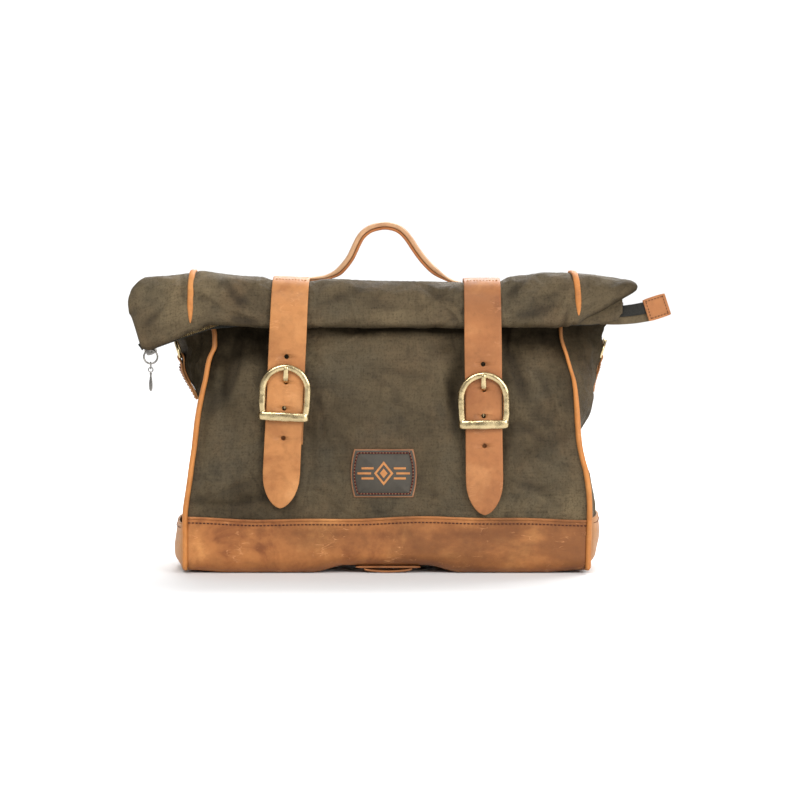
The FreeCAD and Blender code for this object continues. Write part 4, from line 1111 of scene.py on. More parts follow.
def roll_ring(x, around=110):
    """One section of the folded collar, as a loop of points that starts at the inner lower edge."""
    top, foot = ROLL_TOP(x)[0] - 0.8 * MM, ROLL_FOOT(x)[0]
    front, back, inner = -ROLL_FRONT(x)[0], -ROLL_BACK(x)[0], -ROLL_INNER(x)[0]
    h = top - foot
    depth = min(inner - front, 0.3 * h + 2 * MM)
    skin = min(4 * MM, 0.35 * h)
    span = back - front
    loop = [
        (front + depth, foot + 0.14 * h), (front + 0.55 * depth, foot + 0.01 * h), (front + 0.10 * depth, foot + 0.10 * h),
        (front, foot + 0.32 * h), (front + 0.01 * span, foot + 0.62 * h), (front + 0.08 * span, foot + 0.85 * h),
        (front + 0.26 * span, top - 0.008 * h), (front + 0.55 * span, top + 0.3 * MM), (back - 0.06 * span, top - 1.0 * MM),
        (back, top - 0.5 * skin - 1.0 * MM), (back - 0.06 * span, top - skin - 1.0 * MM),
        (front + 0.55 * span, top - skin - 0.5 * MM), (front + max(depth, 0.3 * span), top - 0.30 * h),
        (front + depth, foot + 0.45 * h),
    ]
    line = resample([(0, y, z) for y, z in loop], 1.5 * MM, closed=True)
    lengths = [0.0]
    for a, b in zip(line, line[1:] + line[:1]):
        lengths.append(lengths[-1] + (b - a).length)
    ring = []
    k = 0
    for i in range(around):
        target = lengths[-1] * i / around
        while lengths[k + 1] < target:
            k += 1
        t = (target - lengths[k]) / max(1e-9, lengths[k + 1] - lengths[k])
        p = line[k].lerp(line[(k + 1) % len(line)], t)
        ring.append(Vector((x, p.y, p.z)))
    return ring


ROLL_FOLDS = [
    (-208, 262, 62, 40, 6, 2.0), (-222, 246, 40, 34, 5, -1.8), (-204, 243, 24, 40, 5, 1.6), (-196, 268, 100, 30, 3, -1.6),
    (-170, 262, -38, 56, 6, 2.4), (-162, 252, -30, 62, 5, -2.4), (-150, 268, -52, 40, 5, -1.6), (-138, 248, -10, 50, 5, 2.0),
    (-128, 242, 8, 44, 4, -1.8), (-121, 264, -70, 30, 4, 1.4), (-60, 270, 28, 44, 5, 1.6), (-44, 264, 22, 52, 5, -1.5),
    (-26, 246, 4, 60, 5, 1.2), (6, 252, -8, 60, 6, -1.4), (28, 246, -12, 50, 5, 1.4), (48, 262, -30, 44, 5, -1.4),
    (60, 250, -50, 30, 4, 1.4), (120, 272, 40, 32, 4, -1.8), (128, 262, 30, 46, 6, 2.2), (142, 250, 14, 50, 5, -1.8),
    (152, 266, 20, 40, 5, -1.4), (164, 256, 60, 36, 4, 1.8), (168, 244, 70, 24, 3, -1.8), (188, 262, 34, 44, 5, 1.6),
    (200, 270, 26, 40, 4, -1.4),
]
ROLL_FOLDS = folds_by_cell(ROLL_FOLDS)
SMALL_ROLL = small_creases(130, (-245, 232), (218, 286), 0.55, 6, 20)


def roll_fold(p):
    """Wrinkles of the roll, in metres outward."""
    x, z = p.x, p.z
    front = ease((-0.045 - p.y) / 0.012)
    rise = 0.0
    # long soft creases across the front face, one pulled by each strap and one by each cord
    rise += 1.6 * MM * spot(z, 0.262 - 0.22 * (x + 0.15), 0.005) * spot(x, -0.150, 0.03)
    rise -= 1.5 * MM * spot(z, 0.249 - 0.12 * (x + 0.14), 0.006) * spot(x, -0.140, 0.03)
    rise += 1.3 * MM * spot(z, 0.250 + 0.25 * (x - 0.15), 0.005) * spot(x, 0.145, 0.025)
    rise -= 1.8 * MM * spot(z, 0.272, 0.004) * spot(x, 0.128, 0.014)
    rise -= 1.2 * MM * spot(x, -0.190, 0.004)
    rise -= 1.2 * MM * spot(x, 0.175, 0.004)
    rise += 1.0 * MM * spot(z, 0.240, 0.005) * math.sin(x / 0.019)
    strap_press = spot(x, -0.096, 0.02) + spot(x, 0.087, 0.02)
    rise += front * (relief(x, z, ROLL_FOLDS) + relief(x, z, SMALL_ROLL)) + (1 - front) * relief(x, p.y + 0.29, SMALL_ROLL)
    rise += (1 - min(1, strap_press)) * 1.1 * MM * hum(p, 0.035, 6.0)
    return rise * (0.4 + 0.6 * front) - 0.8 * MM * min(1, strap_press)


def build_roll():
    count = 300
    x0, x1 = -0.2485, 0.2345
    rings = []
    for k in range(count + 1):
        s = k / count
        x = mix(x0, x1, s)
        ring = roll_ring(x)
        centre = sum(ring, Vector()) / len(ring)
        out = []
        for p in ring:
            away = (p - centre)
            away.x = 0
            away = away.normalized() if away.length > 1e-6 else Vector((0, -1, 0))
            out.append(p + away * roll_fold(p))
        rings.append(out)
    for end, step in ((0, -1), (-1, 1)):
        ring = rings[end]
        centre = sum(ring, Vector()) / len(ring)
        for k, shrink in ((1, 0.82), (2, 0.5), (3, 0.15)):
            extra = [centre.lerp(p, shrink) + Vector((step * 0.5 * MM * k, 0, 0)) for p in ring]
            if step < 0:
                rings.insert(0, extra)
            else:
                rings.append(extra)
    uvs = []
    for ring in rings:
        n = len(ring)
        for i, p in enumerate(ring):
            uvs.append((p.x, 0.22 * i / n))
    uvs += [(0, 0), (0, 0)]
    obj = tube("roll_canvas", rings, uvs)
    rub_and_shade(obj, lambda co: (relief(co.x, co.z, ROLL_FOLDS) * 0.7 + relief(co.x, co.z, SMALL_ROLL)) / MM if co.y < -0.05 else 0.0)
    # painted shade: the roll's front darkens towards its lower edge
    store(obj, "shade", lambda co: 0.75 * ease((ROLL_FOOT(co.x)[0] + 7 * MM - co.z) / (9 * MM)) if co.y < -0.045 else 0.0)

    def held(i, co):
        behind = ease((co.y + 0.052) / 0.012)
        wing = ease((abs(co.x) - 0.215) / 0.02)
        strap = max(spot(co.x, -0.096, 0.016), spot(co.x, 0.087, 0.016))
        return min(1.0, max(behind, 0.6 * wing, strap, 0.02))

    crumple(obj, held, 0.02, 1.6 * MM, 12, pressure=0.4)
    soften(obj, 1)
    wear(obj, CANVAS)
    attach(obj, FLAP)
    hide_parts("collar_flap")


def build_neck():
    """Flattened mouth of the bag inside and behind the fold, seen from the back."""
    low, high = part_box("collar_stem")

    def point(u, v):
        x = mix(high.x + 6 * MM, low.x - 4 * MM, u)
        narrow = ease((abs(x) - 0.17) / 0.05)
        top = ROLL_TOP(x)[0] - 2.5 * MM
        keys = [(0.0, -5.0 * MM, NECK - 9 * MM), (0.25, -13.5 * MM, NECK + 4 * MM), (0.6, -16.0 * MM, 0.270),
                (0.85, -17.5 * MM, top - 1 * MM), (1.0, -24.0 * MM, top)]
        y, z = through(keys)(v)
        y -= narrow * 12 * MM * (1 - v)
        p = Vector((x, y, z))
        p.y += 0.9 * MM * hum(p, 0.03, 8.0) * math.sin(math.pi * v)
        return p

    obj = sheet("neck_canvas", point, 160, 36, (0.46, 0.05))
    thicken(obj, CANVAS_T)
    wear(obj, CANVAS)
    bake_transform(obj)
    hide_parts("collar_stem")


def roll_skin(x, share):
    """Point on the front and top of the roll: 0 is the front's lowest edge, 1 is the back of the crest."""
    ring = roll_ring(x, 240)
    lowest = min(range(len(ring)), key=lambda i: ring[i].z)
    crest = max(range(len(ring)), key=lambda i: ring[i].y - 2 * abs(ring[i].z - ROLL_TOP(x)[0]))
    p = ring[int(mix(lowest, crest, share))]
    centre = sum(ring, Vector()) / len(ring)
    away = (p - centre)
    away.x = 0
    return p + away.normalized() * roll_fold(p), away.normalized()


def build_flap_cords():
    """Cord strips over the fold, which narrow to a point at their lower ends."""
    for word, x0, drift in (("left", -0.1875, -0.002), ("right", 0.1733, 0.0058)):
        path, ups = [], []
        for k in range(81):
            t = k / 80
            p, out = roll_skin(x0 + drift * math.sin(math.pi / 2 * t), mix(0.80, 0.155, t))
            path.append(p + out * 1.1 * MM)
            ups.append(out)
        for _ in range(6):
            path = [path[0]] + [(a + b + c) / 3 for a, b, c in zip(path, path[1:], path[2:])] + [path[-1]]
            ups = [ups[0]] + [(a + b + c) / 3 for a, b, c in zip(ups, ups[1:], ups[2:])] + [ups[-1]]
        rings = []
        for i, p in enumerate(path):
            forward = (path[min(i + 1, 80)] - path[max(i - 1, 0)]).normalized()
            rise = (ups[i] - forward * ups[i].dot(forward)).normalized()
            side = forward.cross(rise)
            k = max(0.12, min(1.0, math.sqrt(min(1.0, (80 - i) / 18))))
            rings.append([p + side * a * k + rise * b * max(k, 0.5) for a, b in rounded(5.8 * MM, 3.6 * MM, 2.4, 16)])
        obj = tube(f"flap_cord_{word}", rings)
        wear(obj, PIPING_LEATHER)
        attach(obj, FLAP)
        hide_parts(f"flap_piping_{word}")


def build_wing_lining():
    """Second layer of the collar, which shows under the slanting edge of the right wing."""
    foot = through([(0.150, 0.2400), (0.177, 0.2372), (0.190, 0.2372), (0.205, 0.2390), (0.216, 0.2415), (0.2215, 0.2480)])

    def point(u, v):
        x = mix(0.150, 0.2215, u)
        z = mix(foot(x)[0], ROLL_TOP(x)[0] - 6 * MM, v)
        p = Vector((x, -57.0 * MM, z))
        p.y -= 1.8 * MM * math.sin(math.pi * min(1, 2.5 * v)) + 0.8 * MM * hum(p, 0.012, 14.0)
        return p

    obj = sheet("roll_second_layer", point, 50, 30, (0.072, 0.05))
    thicken(obj, CANVAS_T)
    wear(obj, CANVAS)
    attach(obj, FLAP)


# ---------------------------------------------------------------- straps and buckles
def strap_place(word, x, y, z):
    """From a strap's own plane (x across, z up, fold at its pivot) to the bag."""
    pivot, across = STRAP_PIVOT[word]
    down = across.cross(Vector((0, 1, 0)))
    return Vector((pivot.x, y, pivot.z)) + across * x + down * (z - pivot.z)


def strap_band(name, word, path, half_width, thickness, uv_width=36 * MM):
    """A flat strip of leather with rounded edges. path holds (y, z); half_width(s) takes the distance to the end."""
    dense = resample([(0, y, z) for y, z in path], 1.6 * MM)
    total = sum((b - a).length for a, b in zip(dense, dense[1:]))
    rings = []
    travelled = 0.0
    for i, p in enumerate(dense):
        if i:
            travelled += (p - dense[i - 1]).length
        before, after = dense[max(i - 1, 0)], dense[min(i + 1, len(dense) - 1)]
        forward = (after - before).normalized()
        out = Vector((0, forward.z, -forward.y))
        w = half_width(total - travelled)
        ring = []
        for a, b in rounded(2 * w, thickness, 7.0, 28):
            lift = thickness * 0.5 * 0.15 * (1 - (a / max(w, 1e-6)) ** 2)
            q = p + out * (b + math.copysign(lift, b))
            ring.append(strap_place(word, a, q.y, q.z))
        rings.append(ring)
    return tube(name, rings)


def drill(obj, places, radius):
    """Punches round holes along Y."""
    rods = []
    for p in places:
        line = [p + Vector((0, y * MM, 0)) for y in (-12, 12)]
        circle = [(radius * math.cos(2 * math.pi * k / 28), radius * math.sin(2 * math.pi * k / 28)) for k in range(28)]
        rods.append(sweep("punch", line, circle, up=(0, 0, 1)))
    punch = merge("punches", rods)
    cut = obj.modifiers.new("holes", "BOOLEAN")
    cut.object = punch
    cut.solver = "EXACT"
    apply_modifiers(obj)
    bpy.data.objects.remove(punch)
    return obj


def strap_front(word):
    low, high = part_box(f"strap_front_{word}")
    node = f"strap_front_{word}"
    pivot = STRAP_PIVOT[word][0]
    drop = BAR_HOME_Z - BAR[word].z
    crest = ROLL_TOP(pivot.x)[0] + 2.3 * MM
    tip = low.z
    y = -71.6 * MM
    path = [(-20 * MM, crest), (-34 * MM, crest + 0.4 * MM), (-50 * MM, crest - 0.6 * MM), (-61 * MM, crest - 4 * MM),
            (-68 * MM, crest - 11 * MM), (y, crest - 22 * MM), (y - 0.6 * MM, 0.240), (y + 0.1 * MM, 0.222),
            (y, 0.200), (y, 0.160), (y - 0.5 * MM, 0.120), (y, 0.090), (y, tip + 10 * MM), (y, tip + 0.4 * MM)]
    half = 17.6 * MM
    taper = 32 * MM

    def width(to_end):
        if to_end > taper:
            return half * (1 + 0.008 * math.sin(to_end / 0.02))
        t = max(0.0, to_end / taper)
        return max(0.4 * MM, half * (1 - (1 - t) ** 2.0) ** 0.60)

    obj = strap_band(f"strap_{word}", word, path, width, STRAP_T)
    lifts = (0, 1.4, 2.0, -0.8)
    holes = [strap_place(word, (0.3 if k % 2 else -0.2) * MM, y, 0.2071 - drop + (lifts[k] - k * 25.6) * MM) for k in range(4)]
    drill(obj, holes, 2.25 * MM)
    obj.data.polygons.foreach_set("use_smooth", [True] * len(obj.data.polygons))
    wear(obj, STRAP_LEATHER if word == "left" else WORN_LEATHER)
    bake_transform(obj)
    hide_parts(node)
    row = [(strap_place(word, mix(4 * MM - half, half - 4 * MM, k / 9), -57.8 * MM, crest - 0.8 * MM),
            Vector((1, 0, 0)), Vector((0, -0.35, 0.94))) for k in range(10)]
    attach(stitch_row(f"strap_stitches_{word}", row, 2.2 * MM, 0.9 * MM, THREAD_TAN), f"{word}_strap")
    return obj


def strap_rear(word):
    """Sewn run of a strap, from the fold down the back."""
    node = f"strap_back_{word}"
    low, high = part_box(node)
    pivot = STRAP_PIVOT[word][0]
    crest = ROLL_TOP(pivot.x)[0] + 2.3 * MM
    path = [(-21 * MM, crest), (-14 * MM, crest - 0.5 * MM), (-8.5 * MM, crest - 5 * MM), (-4 * MM, 0.265),
            (14 * MM, 0.2545), (36 * MM, 0.2420), (58 * MM, 0.2275), (67.5 * MM, 0.215), (70.2 * MM, 0.200),
            (70.2 * MM, 0.185), (70.2 * MM, low.z)]
    dense = resample([(0, y, z) for y, z in path], 2 * MM)
    rings = []
    for i, p in enumerate(dense):
        before, after = dense[max(i - 1, 0)], dense[min(i + 1, len(dense) - 1)]
        forward = (after - before).normalized()
        out = Vector((0, -forward.z, forward.y))
        rings.append([Vector((pivot.x + a, p.y + out.y * b, p.z + out.z * b))
                      for a, b in rounded(35 * MM, STRAP_T, 7.0, 28)])
    obj = tube(f"strap_rear_{word}", rings)
    wear(obj, STRAP_LEATHER)
    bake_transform(obj)
    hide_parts(node)
    box = []
    x0, x1 = pivot.x - 13.5 * MM, pivot.x + 13.5 * MM
    z0, z1 = low.z + 4 * MM, low.z + 28 * MM
    y = 72.0 * MM
    corners = [(x0, z0), (x1, z0), (x1, z1), (x0, z1), (x0, z0), (x1, z1)]
    for (xa, za), (xb, zb) in zip(corners, corners[1:]):
        box += along_path([Vector((xa, y, za)), Vector((xb, y, zb))], 3.2 * MM, (0, 1, 0))
    row = stitch_row(f"strap_rear_stitches_{word}", box, 2.3 * MM, 0.8 * MM, THREAD_DARK)
    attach(row, BAG)


def buckle(word):
    """Cast frame with a keeper band in front, and the bar behind the strap."""
    drop = BAR_HOME_Z - BAR[word].z
    low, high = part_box(f"buckle_frame_{word}")
    front = -75.7 * MM
    arch_z, radius = 0.1756 - drop, 21.3 * MM
    place = lambda x, y, z: strap_place(word, x, y, z)

    arch = []
    for k in range(15):
        t = k / 14
        z = mix(0.1475 - drop, arch_z, t)
        pinch = 1.5 * MM * (1 - ease(t / 0.55))
        arch.append((-radius + pinch, front + 1.2 * MM * (1 - ease(t / 0.5)), z))
    for k in range(1, 40):
        a = math.pi * k / 40
        arch.append((-radius * math.cos(a), front, arch_z + radius * math.sin(a)))
    for k in range(15):
        t = 1 - k / 14
        z = mix(0.1475 - drop, arch_z, t)
        pinch = 1.5 * MM * (1 - ease(t / 0.55))
        arch.append((radius - pinch, front + 1.2 * MM * (1 - ease(t / 0.5)), z))
    loop = sweep("arch", [place(*p) for p in arch], rounded(6.3 * MM, 4.6 * MM, 2.3, 20), up=(0, -1, 0),
                 scale=lambda s: 0.92 + 0.12 * math.sin(math.pi * s) ** 2 + 0.06 * ease(2 * s - 1))
    keeper_z = 0.1500 - drop
    keeper = [(-22.4, -68.4), (-22.9, -73), (-21.3, -76.3), (-16, -77.3), (0, -77.9), (16, -77.3), (21.3, -76.3),
              (22.9, -73), (22.4, -68.4)]
    line = resample([place(x * MM, y * MM, keeper_z) for x, y in keeper], 1.0 * MM)
    band = sweep("keeper", line, rounded(3.0 * MM, 8.4 * MM, 2.3, 20), up=(0, 0, 1),
                 scale=lambda s: 0.84 + 0.16 * ease(math.sin(math.pi * s) / 0.7) + 0.10 * math.cos(2 * math.pi * s) ** 8)
    bar_line = [place(x * MM, -66.2 * MM, 0.150 - drop) for x in range(-22, 23, 2)]
    bar = sweep("bar", bar_line, rounded(3.6 * MM, 3.6 * MM, 2, 16), up=(0, 0, 1))
    posts = []
    for side in (-1, 1):
        post = [place(side * 20.9 * MM, y * MM, 0.1497 - drop) for y in (-75, -73, -70, -67, -65.2)]
        posts.append(sweep("post", post, rounded(3.8 * MM, 5.4 * MM, 3.0, 16), up=(0, 0, 1)))
    obj = merge(f"buckle_{word}", [loop, band, bar] + posts)
    fuse(obj, 0.55 * MM, 4)
    dent(obj, 0.32 * MM, 8 * MM, 11.0 if word == "left" else 17.0)
    wear(obj, BRASS)
    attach(obj, f"{word}_buckle")
    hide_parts(f"buckle_frame_{word}")


def prong(word):
    drop = BAR_HOME_Z - BAR[word].z
    path = [(-66.2, 147.2), (-63.9, 149.5), (-63.9, 158), (-63.7, 170), (-64.6, 178.0), (-68.6, 181.6), (-73.6, 183.6),
            (-76.3, 186.6), (-77.4, 190), (-78.0, 195.2), (-77.6, 197.4)]
    line = resample([strap_place(word, 0, y * MM, z * MM - drop) for y, z in path], 0.8 * MM)
    arm = sweep("arm", line, rounded(5.2 * MM, 2.4 * MM, 2.6, 16), up=(0, -1, 0),
                scale=lambda s: 0.80 + 0.20 * ease((1 - abs(2 * s - 1)) / 0.5))
    loop = []
    for k in range(20):
        a = 2 * math.pi * k / 19 * 0.97
        loop.append(strap_place(word, 0, -66.2 * MM + 2.75 * MM * math.cos(a), 0.150 - drop + 2.75 * MM * math.sin(a)))
    eye = sweep("eye", loop, rounded(3.3 * MM, 1.7 * MM, 3.0, 14), up=strap_place(word, 1, 0, 0) - strap_place(word, 0, 0, 0))
    obj = merge(f"prong_{word}", [arm, eye])
    wear(obj, BRASS)
    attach(obj, f"{word}_prong")
    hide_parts(f"buckle_prong_{word}")


def chape(word):
    """Leather folded round the bar behind the strap; its edge shows beside the strap."""
    drop = BAR_HOME_Z - BAR[word].z
    node = f"chape_{word}"
    path = [(-68.3, 124), (-68.3, 132), (-68.3, 141), (-69.0, 148.5), (-67.9, 152.4), (-66.2, 153.3), (-64.6, 152.2),
            (-63.9, 148.5), (-65.2, 141), (-65.4, 132), (-65.4, 124)]
    line = resample([(0, y * MM, z * MM - drop) for y, z in path], 1.2 * MM)
    rings = []
    for i, p in enumerate(line):
        before, after = line[max(i - 1, 0)], line[min(i + 1, len(line) - 1)]
        forward = (after - before).normalized()
        out = Vector((0, forward.z, -forward.y))
        ring = []
        for a, b in rounded(34 * MM, 1.5 * MM, 7.0, 24):
            q = p + out * b
            ring.append(strap_place(word, a + (1.6 * MM if word == "left" else -0.5 * MM), q.y, q.z))
        rings.append(ring)
    obj = tube(f"buckle_fold_{word}", rings)
    wear(obj, STRAP_LEATHER)
    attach(obj, f"{word}_strap")
    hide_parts(node)


def build_straps():
    for word in ("left", "right"):
        strap_front(word)
        strap_rear(word)
        buckle(word)
        prong(word)
        chape(word)


# ---------------------------------------------------------------- handle
def build_handle():
    """Two leather layers that stand between the straps: a pale upper one, and a darker one under it, whose darker
    leather is painted shade for the handle's shaded inner face.
    """
    low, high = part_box("handle")
    y0 = (low.y + high.y) / 2
    keys = [(-88, 278.6), (-79, 280.0), (-70, 280.9), (-61, 282.4), (-51, 286.6), (-44, 293.4), (-38, 301.8),
            (-33, 312.4), (-28, 321.6), (-21, 327.8), (-13, 330.8), (-4, 331.9), (5, 330.2), (12, 326.0), (18, 319.3),
            (24, 310.2), (31, 300.6), (39, 291.8), (47, 285.4), (54, 281.0), (61, 277.6), (68, 276.0)]
    line = resample([(x * MM, 0, z * MM) for x, z in keys], 1.5 * MM)
    half_depth = (high.y - low.y) / 2
    layers = (("carry_strap", 1.45, 4.5, 1.0, HANDLE_LEATHER), ("carry_strap_painted_shade_layer", -2.3, 2.9, 0.965, HANDLE_SHADE_LEATHER))
    for name, lift, height, share, material in layers:
        rings = []
        for i, p in enumerate(line):
            before, after = line[max(i - 1, 0)], line[min(i + 1, len(line) - 1)]
            forward = (after - before).normalized()
            out = Vector((-forward.z, 0, forward.x))
            thin = mix(0.5, 1.0, ease((p.z - 0.279) / 0.010))
            width = mix(0.75, 1.0, ease((p.z - 0.281) / 0.012)) * half_depth * share
            lean = 0.10 * (p.z - 0.282)
            ring = []
            for a, b in rounded(2 * width, height * MM, 5.0, 24):
                # the strip rolls a little about its own length, so that its front edge sits lower than its back edge
                rise = (b + lift * MM) * thin + 0.06 * a
                ring.append(Vector((p.x + out.x * rise, y0 + a + lean, p.z + out.z * rise)))
            rings.append(ring)
        obj = tube(name, rings)
        wear(obj, material)
        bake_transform(obj)
        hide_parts("handle")


# ---------------------------------------------------------------- zip
ZIP_Y = (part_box("zip_teeth")[0].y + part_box("zip_teeth")[1].y) / 2
SLIDE = next(j for j in frame["joints"] if j["name"] == "zip_slide")
SLIDE_AXIS = Vector(SLIDE["axis"]).normalized()
SLIDE_UP = Vector((-SLIDE_AXIS.z, 0, SLIDE_AXIS.x))


def zip_curve():
    """Middle line of the zip, from the upper tape's lower edge and the lower tape's upper edge."""
    start = (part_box("zip_slider")[0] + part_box("zip_slider")[1]) / 2
    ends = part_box("zip_teeth")
    bend = start + SLIDE_AXIS * 60 * MM
    return [start - SLIDE_AXIS * 8 * MM, start, start + SLIDE_AXIS * 30 * MM, bend, Vector((-0.150, ZIP_Y, 0.2415)),
            Vector((-0.10, ZIP_Y, 0.2424)), Vector((0.10, ZIP_Y, 0.2428)), Vector((0.185, ZIP_Y, 0.2430)),
            Vector((ends[1].x, ZIP_Y, ends[1].z - 3 * MM))]


def build_zip():
    middle = zip_curve()
    for p in middle:
        p.y = ZIP_Y
        p.z += 3.2 * MM * ease((-0.150 - p.x) / 0.02) * ease((p.x + 0.242) / 0.02)
    line = resample(middle, 2 * MM)
    for name, side in (("upper", 1), ("lower", -1)):
        rings = []
        for i, p in enumerate(line):
            hidden = ease((p.x + 0.175) / 0.02)
            edges = (1.6, 8.6) if side > 0 else (1.2, mix(2.6, 6.6, hidden))
            before, after = line[max(i - 1, 0)], line[min(i + 1, len(line) - 1)]
            forward = (after - before).normalized()
            up = Vector((-forward.z, 0, forward.x)) * side
            centre = p + up * (sum(edges) / 2 * MM)
            rings.append([centre + up * a + Vector((0, b, 0))
                          for a, b in rounded((edges[1] - edges[0]) * MM, 1.0 * MM, 5.0, 12)])
        tape = tube(f"zip_band_{name}", rings)
        wear(tape, TAPE)
        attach(tape, FLAP)
        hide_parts(f"zip_tape_{name}")
    teeth = []
    travelled, target = 0.0, 2 * MM
    verts, faces = [], []
    for a, b in zip(line, line[1:]):
        span = (b - a).length
        while target <= travelled + span:
            p = a.lerp(b, (target - travelled) / span)
            forward = (b - a).normalized()
            up = Vector((-forward.z, 0, forward.x))
            for side in (-1, 1):
                centre = p + up * side * 0.8 * MM + forward * (0.9 * MM if side > 0 else 0)
                start = len(verts)
                for dy in (-1, 1):
                    for du, dw in ((-1, -1), (1, -1), (1, 1), (-1, 1)):
                        inner = 0.8 if dy > 0 else 1.0
                        verts.append(centre + forward * du * 0.62 * MM * inner + up * dw * 0.95 * MM * inner
                                     + Vector((0, dy * 0.95 * MM, 0)))
                f = start
                faces += [(f, f + 3, f + 2, f + 1), (f + 4, f + 5, f + 6, f + 7)]
                faces += [(f + i, f + (i + 1) % 4, f + 4 + (i + 1) % 4, f + 4 + i) for i in range(4)]
            target += 1.9 * MM
        travelled += span
    teeth = new_object("zip_chain", verts, faces, smooth=False)
    bevel = teeth.modifiers.new("bevel", "BEVEL")
    bevel.width = 0.18 * MM
    bevel.segments = 1
    apply_modifiers(teeth)
    wear(teeth, BRASS)
    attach(teeth, FLAP)
    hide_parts("zip_teeth")
    build_slider()
    build_tail()


def ring_path(centre, radius_a, radius_b, a_dir, b_dir, count=40):
    return [centre + a_dir * radius_a * math.cos(2 * math.pi * k / count) + b_dir * radius_b * math.sin(2 * math.pi * k / count)
            for k in range(count)]


def closed_wire(name, points, radius, sides=10):
    """A closed ring of round wire."""
    n = len(points)
    rings = []
    for i, p in enumerate(points):
        forward = (points[(i + 1) % n] - points[i - 1]).normalized()
        centre = sum(points, Vector()) / n
        out = (p - centre)
        out = (out - forward * out.dot(forward)).normalized()
        side = forward.cross(out)
        rings.append([p + out * radius * math.cos(a) + side * radius * math.sin(a)
                      for a in (2 * math.pi * k / sides for k in range(sides))])
    verts = [p for ring in rings for p in ring]
    faces = []
    for j in range(n):
        for i in range(sides):
            a, b = j * sides + i, j * sides + (i + 1) % sides
            c, d = ((j + 1) % n) * sides + (i + 1) % sides, ((j + 1) % n) * sides + i
            faces.append((a, b, c, d))
    return face_out(new_object(name, verts, faces))


def build_slider():
    low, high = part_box("zip_slider")
    centre = Vector(SLIDE_HOME)
    plates = []
    for dy, w0, w1, t in ((-2.4, 4.6, 3.4, 1.5), (2.3, 4.4, 3.4, 1.3)):
        path = [centre + SLIDE_AXIS * s * MM + Vector((0, dy * MM, 0)) for s in (-5, -4.2, -2, 0, 2, 4.2, 5)]
        widths = (0.75, 0.92, 1.0, 1.0, 0.95, 0.85, 0.7)
        rings = []
        for p, k in zip(path, widths):
            rings.append([p + SLIDE_UP * a * k + Vector((0, b, 0)) for a, b in rounded(2 * w0 * MM, t * MM, 4.0, 20)])
        plates.append(tube("plate", rings))
    post = [centre + SLIDE_AXIS * s * MM for s in (-4.4, -2, 0, 2)]
    plates.append(sweep("post", post, rounded(4.6 * MM, 1.0 * MM, 4.0, 12), up=tuple(SLIDE_UP)))
    lug = []
    for k in range(17):
        a = math.pi * k / 16
        lug.append(centre + Vector((0, -2.9 * MM - 2.3 * MM * math.sin(a), 2.3 * MM * math.cos(a))))
    plates.append(sweep("lug", lug, rounded(1.3 * MM, 1.3 * MM, 2.4, 12), up=(1, 0, 0)))
    body = merge("slider", plates)
    wear(body, NICKEL)
    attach(body, "slider")
    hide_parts("zip_slider")

    ring_low, ring_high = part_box("pull_ring")
    c = (ring_low + ring_high) / 2
    radius = (ring_high.z - ring_low.z) / 2 - 0.6 * MM
    ring = closed_wire("zip_ring", ring_path(c, radius, radius, Vector((1, 0, 0)), Vector((0, 0, 1))), 0.9 * MM)
    wear(ring, NICKEL)
    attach(ring, "pull_ring")
    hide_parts("pull_ring")

    link_low, link_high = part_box("pull_link")
    c = (link_low + link_high) / 2
    radius = (link_high.z - link_low.z) / 2 - 0.6 * MM
    link = closed_wire("zip_link", ring_path(c, 0.72 * radius, radius, Vector((0, 1, 0)), Vector((0, 0, 1)), 28), 0.55 * MM)
    wear(link, NICKEL)
    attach(link, "pull_link")
    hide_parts("pull_link")

    bar_low, bar_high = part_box("pull_bar")
    x, y = (bar_low.x + bar_high.x) / 2, (bar_low.y + bar_high.y) / 2
    parts = [closed_wire("eye", ring_path(Vector((x, y, bar_high.z - 2.8 * MM)), 2.2 * MM, 2.2 * MM, Vector((1, 0, 0)),
                                          Vector((0, 0, 1)), 26), 0.55 * MM)]
    line = [Vector((x, y, bar_high.z - s * MM)) for s in (4.9, 6, 7.5, 9, 11, 13, 15, 17, 19, 21, 22.5, 23.4)]
    widths = (1.3, 2.4, 2.0, 1.7, 2.3, 2.9, 3.3, 3.5, 3.5, 3.2, 2.4, 1.2)
    rings = [[p + Vector((a * w * MM / 2, b * MM, 0)) for a, b in rounded(2.0, 1.4, 2.6, 14)] for p, w in zip(line, widths)]
    parts.append(tube("plate", rings))
    pull = soften(merge("zip_pull", parts), 1)
    wear(pull, NICKEL)
    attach(pull, "pull_bar")
    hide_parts("pull_bar")


SLIDE_HOME = next(j for j in frame["joints"] if j["name"] == "pull_ring_swing")["pos_m"]
SLIDE_HOME = (SLIDE_HOME[0], ZIP_Y, SLIDE_HOME[2])


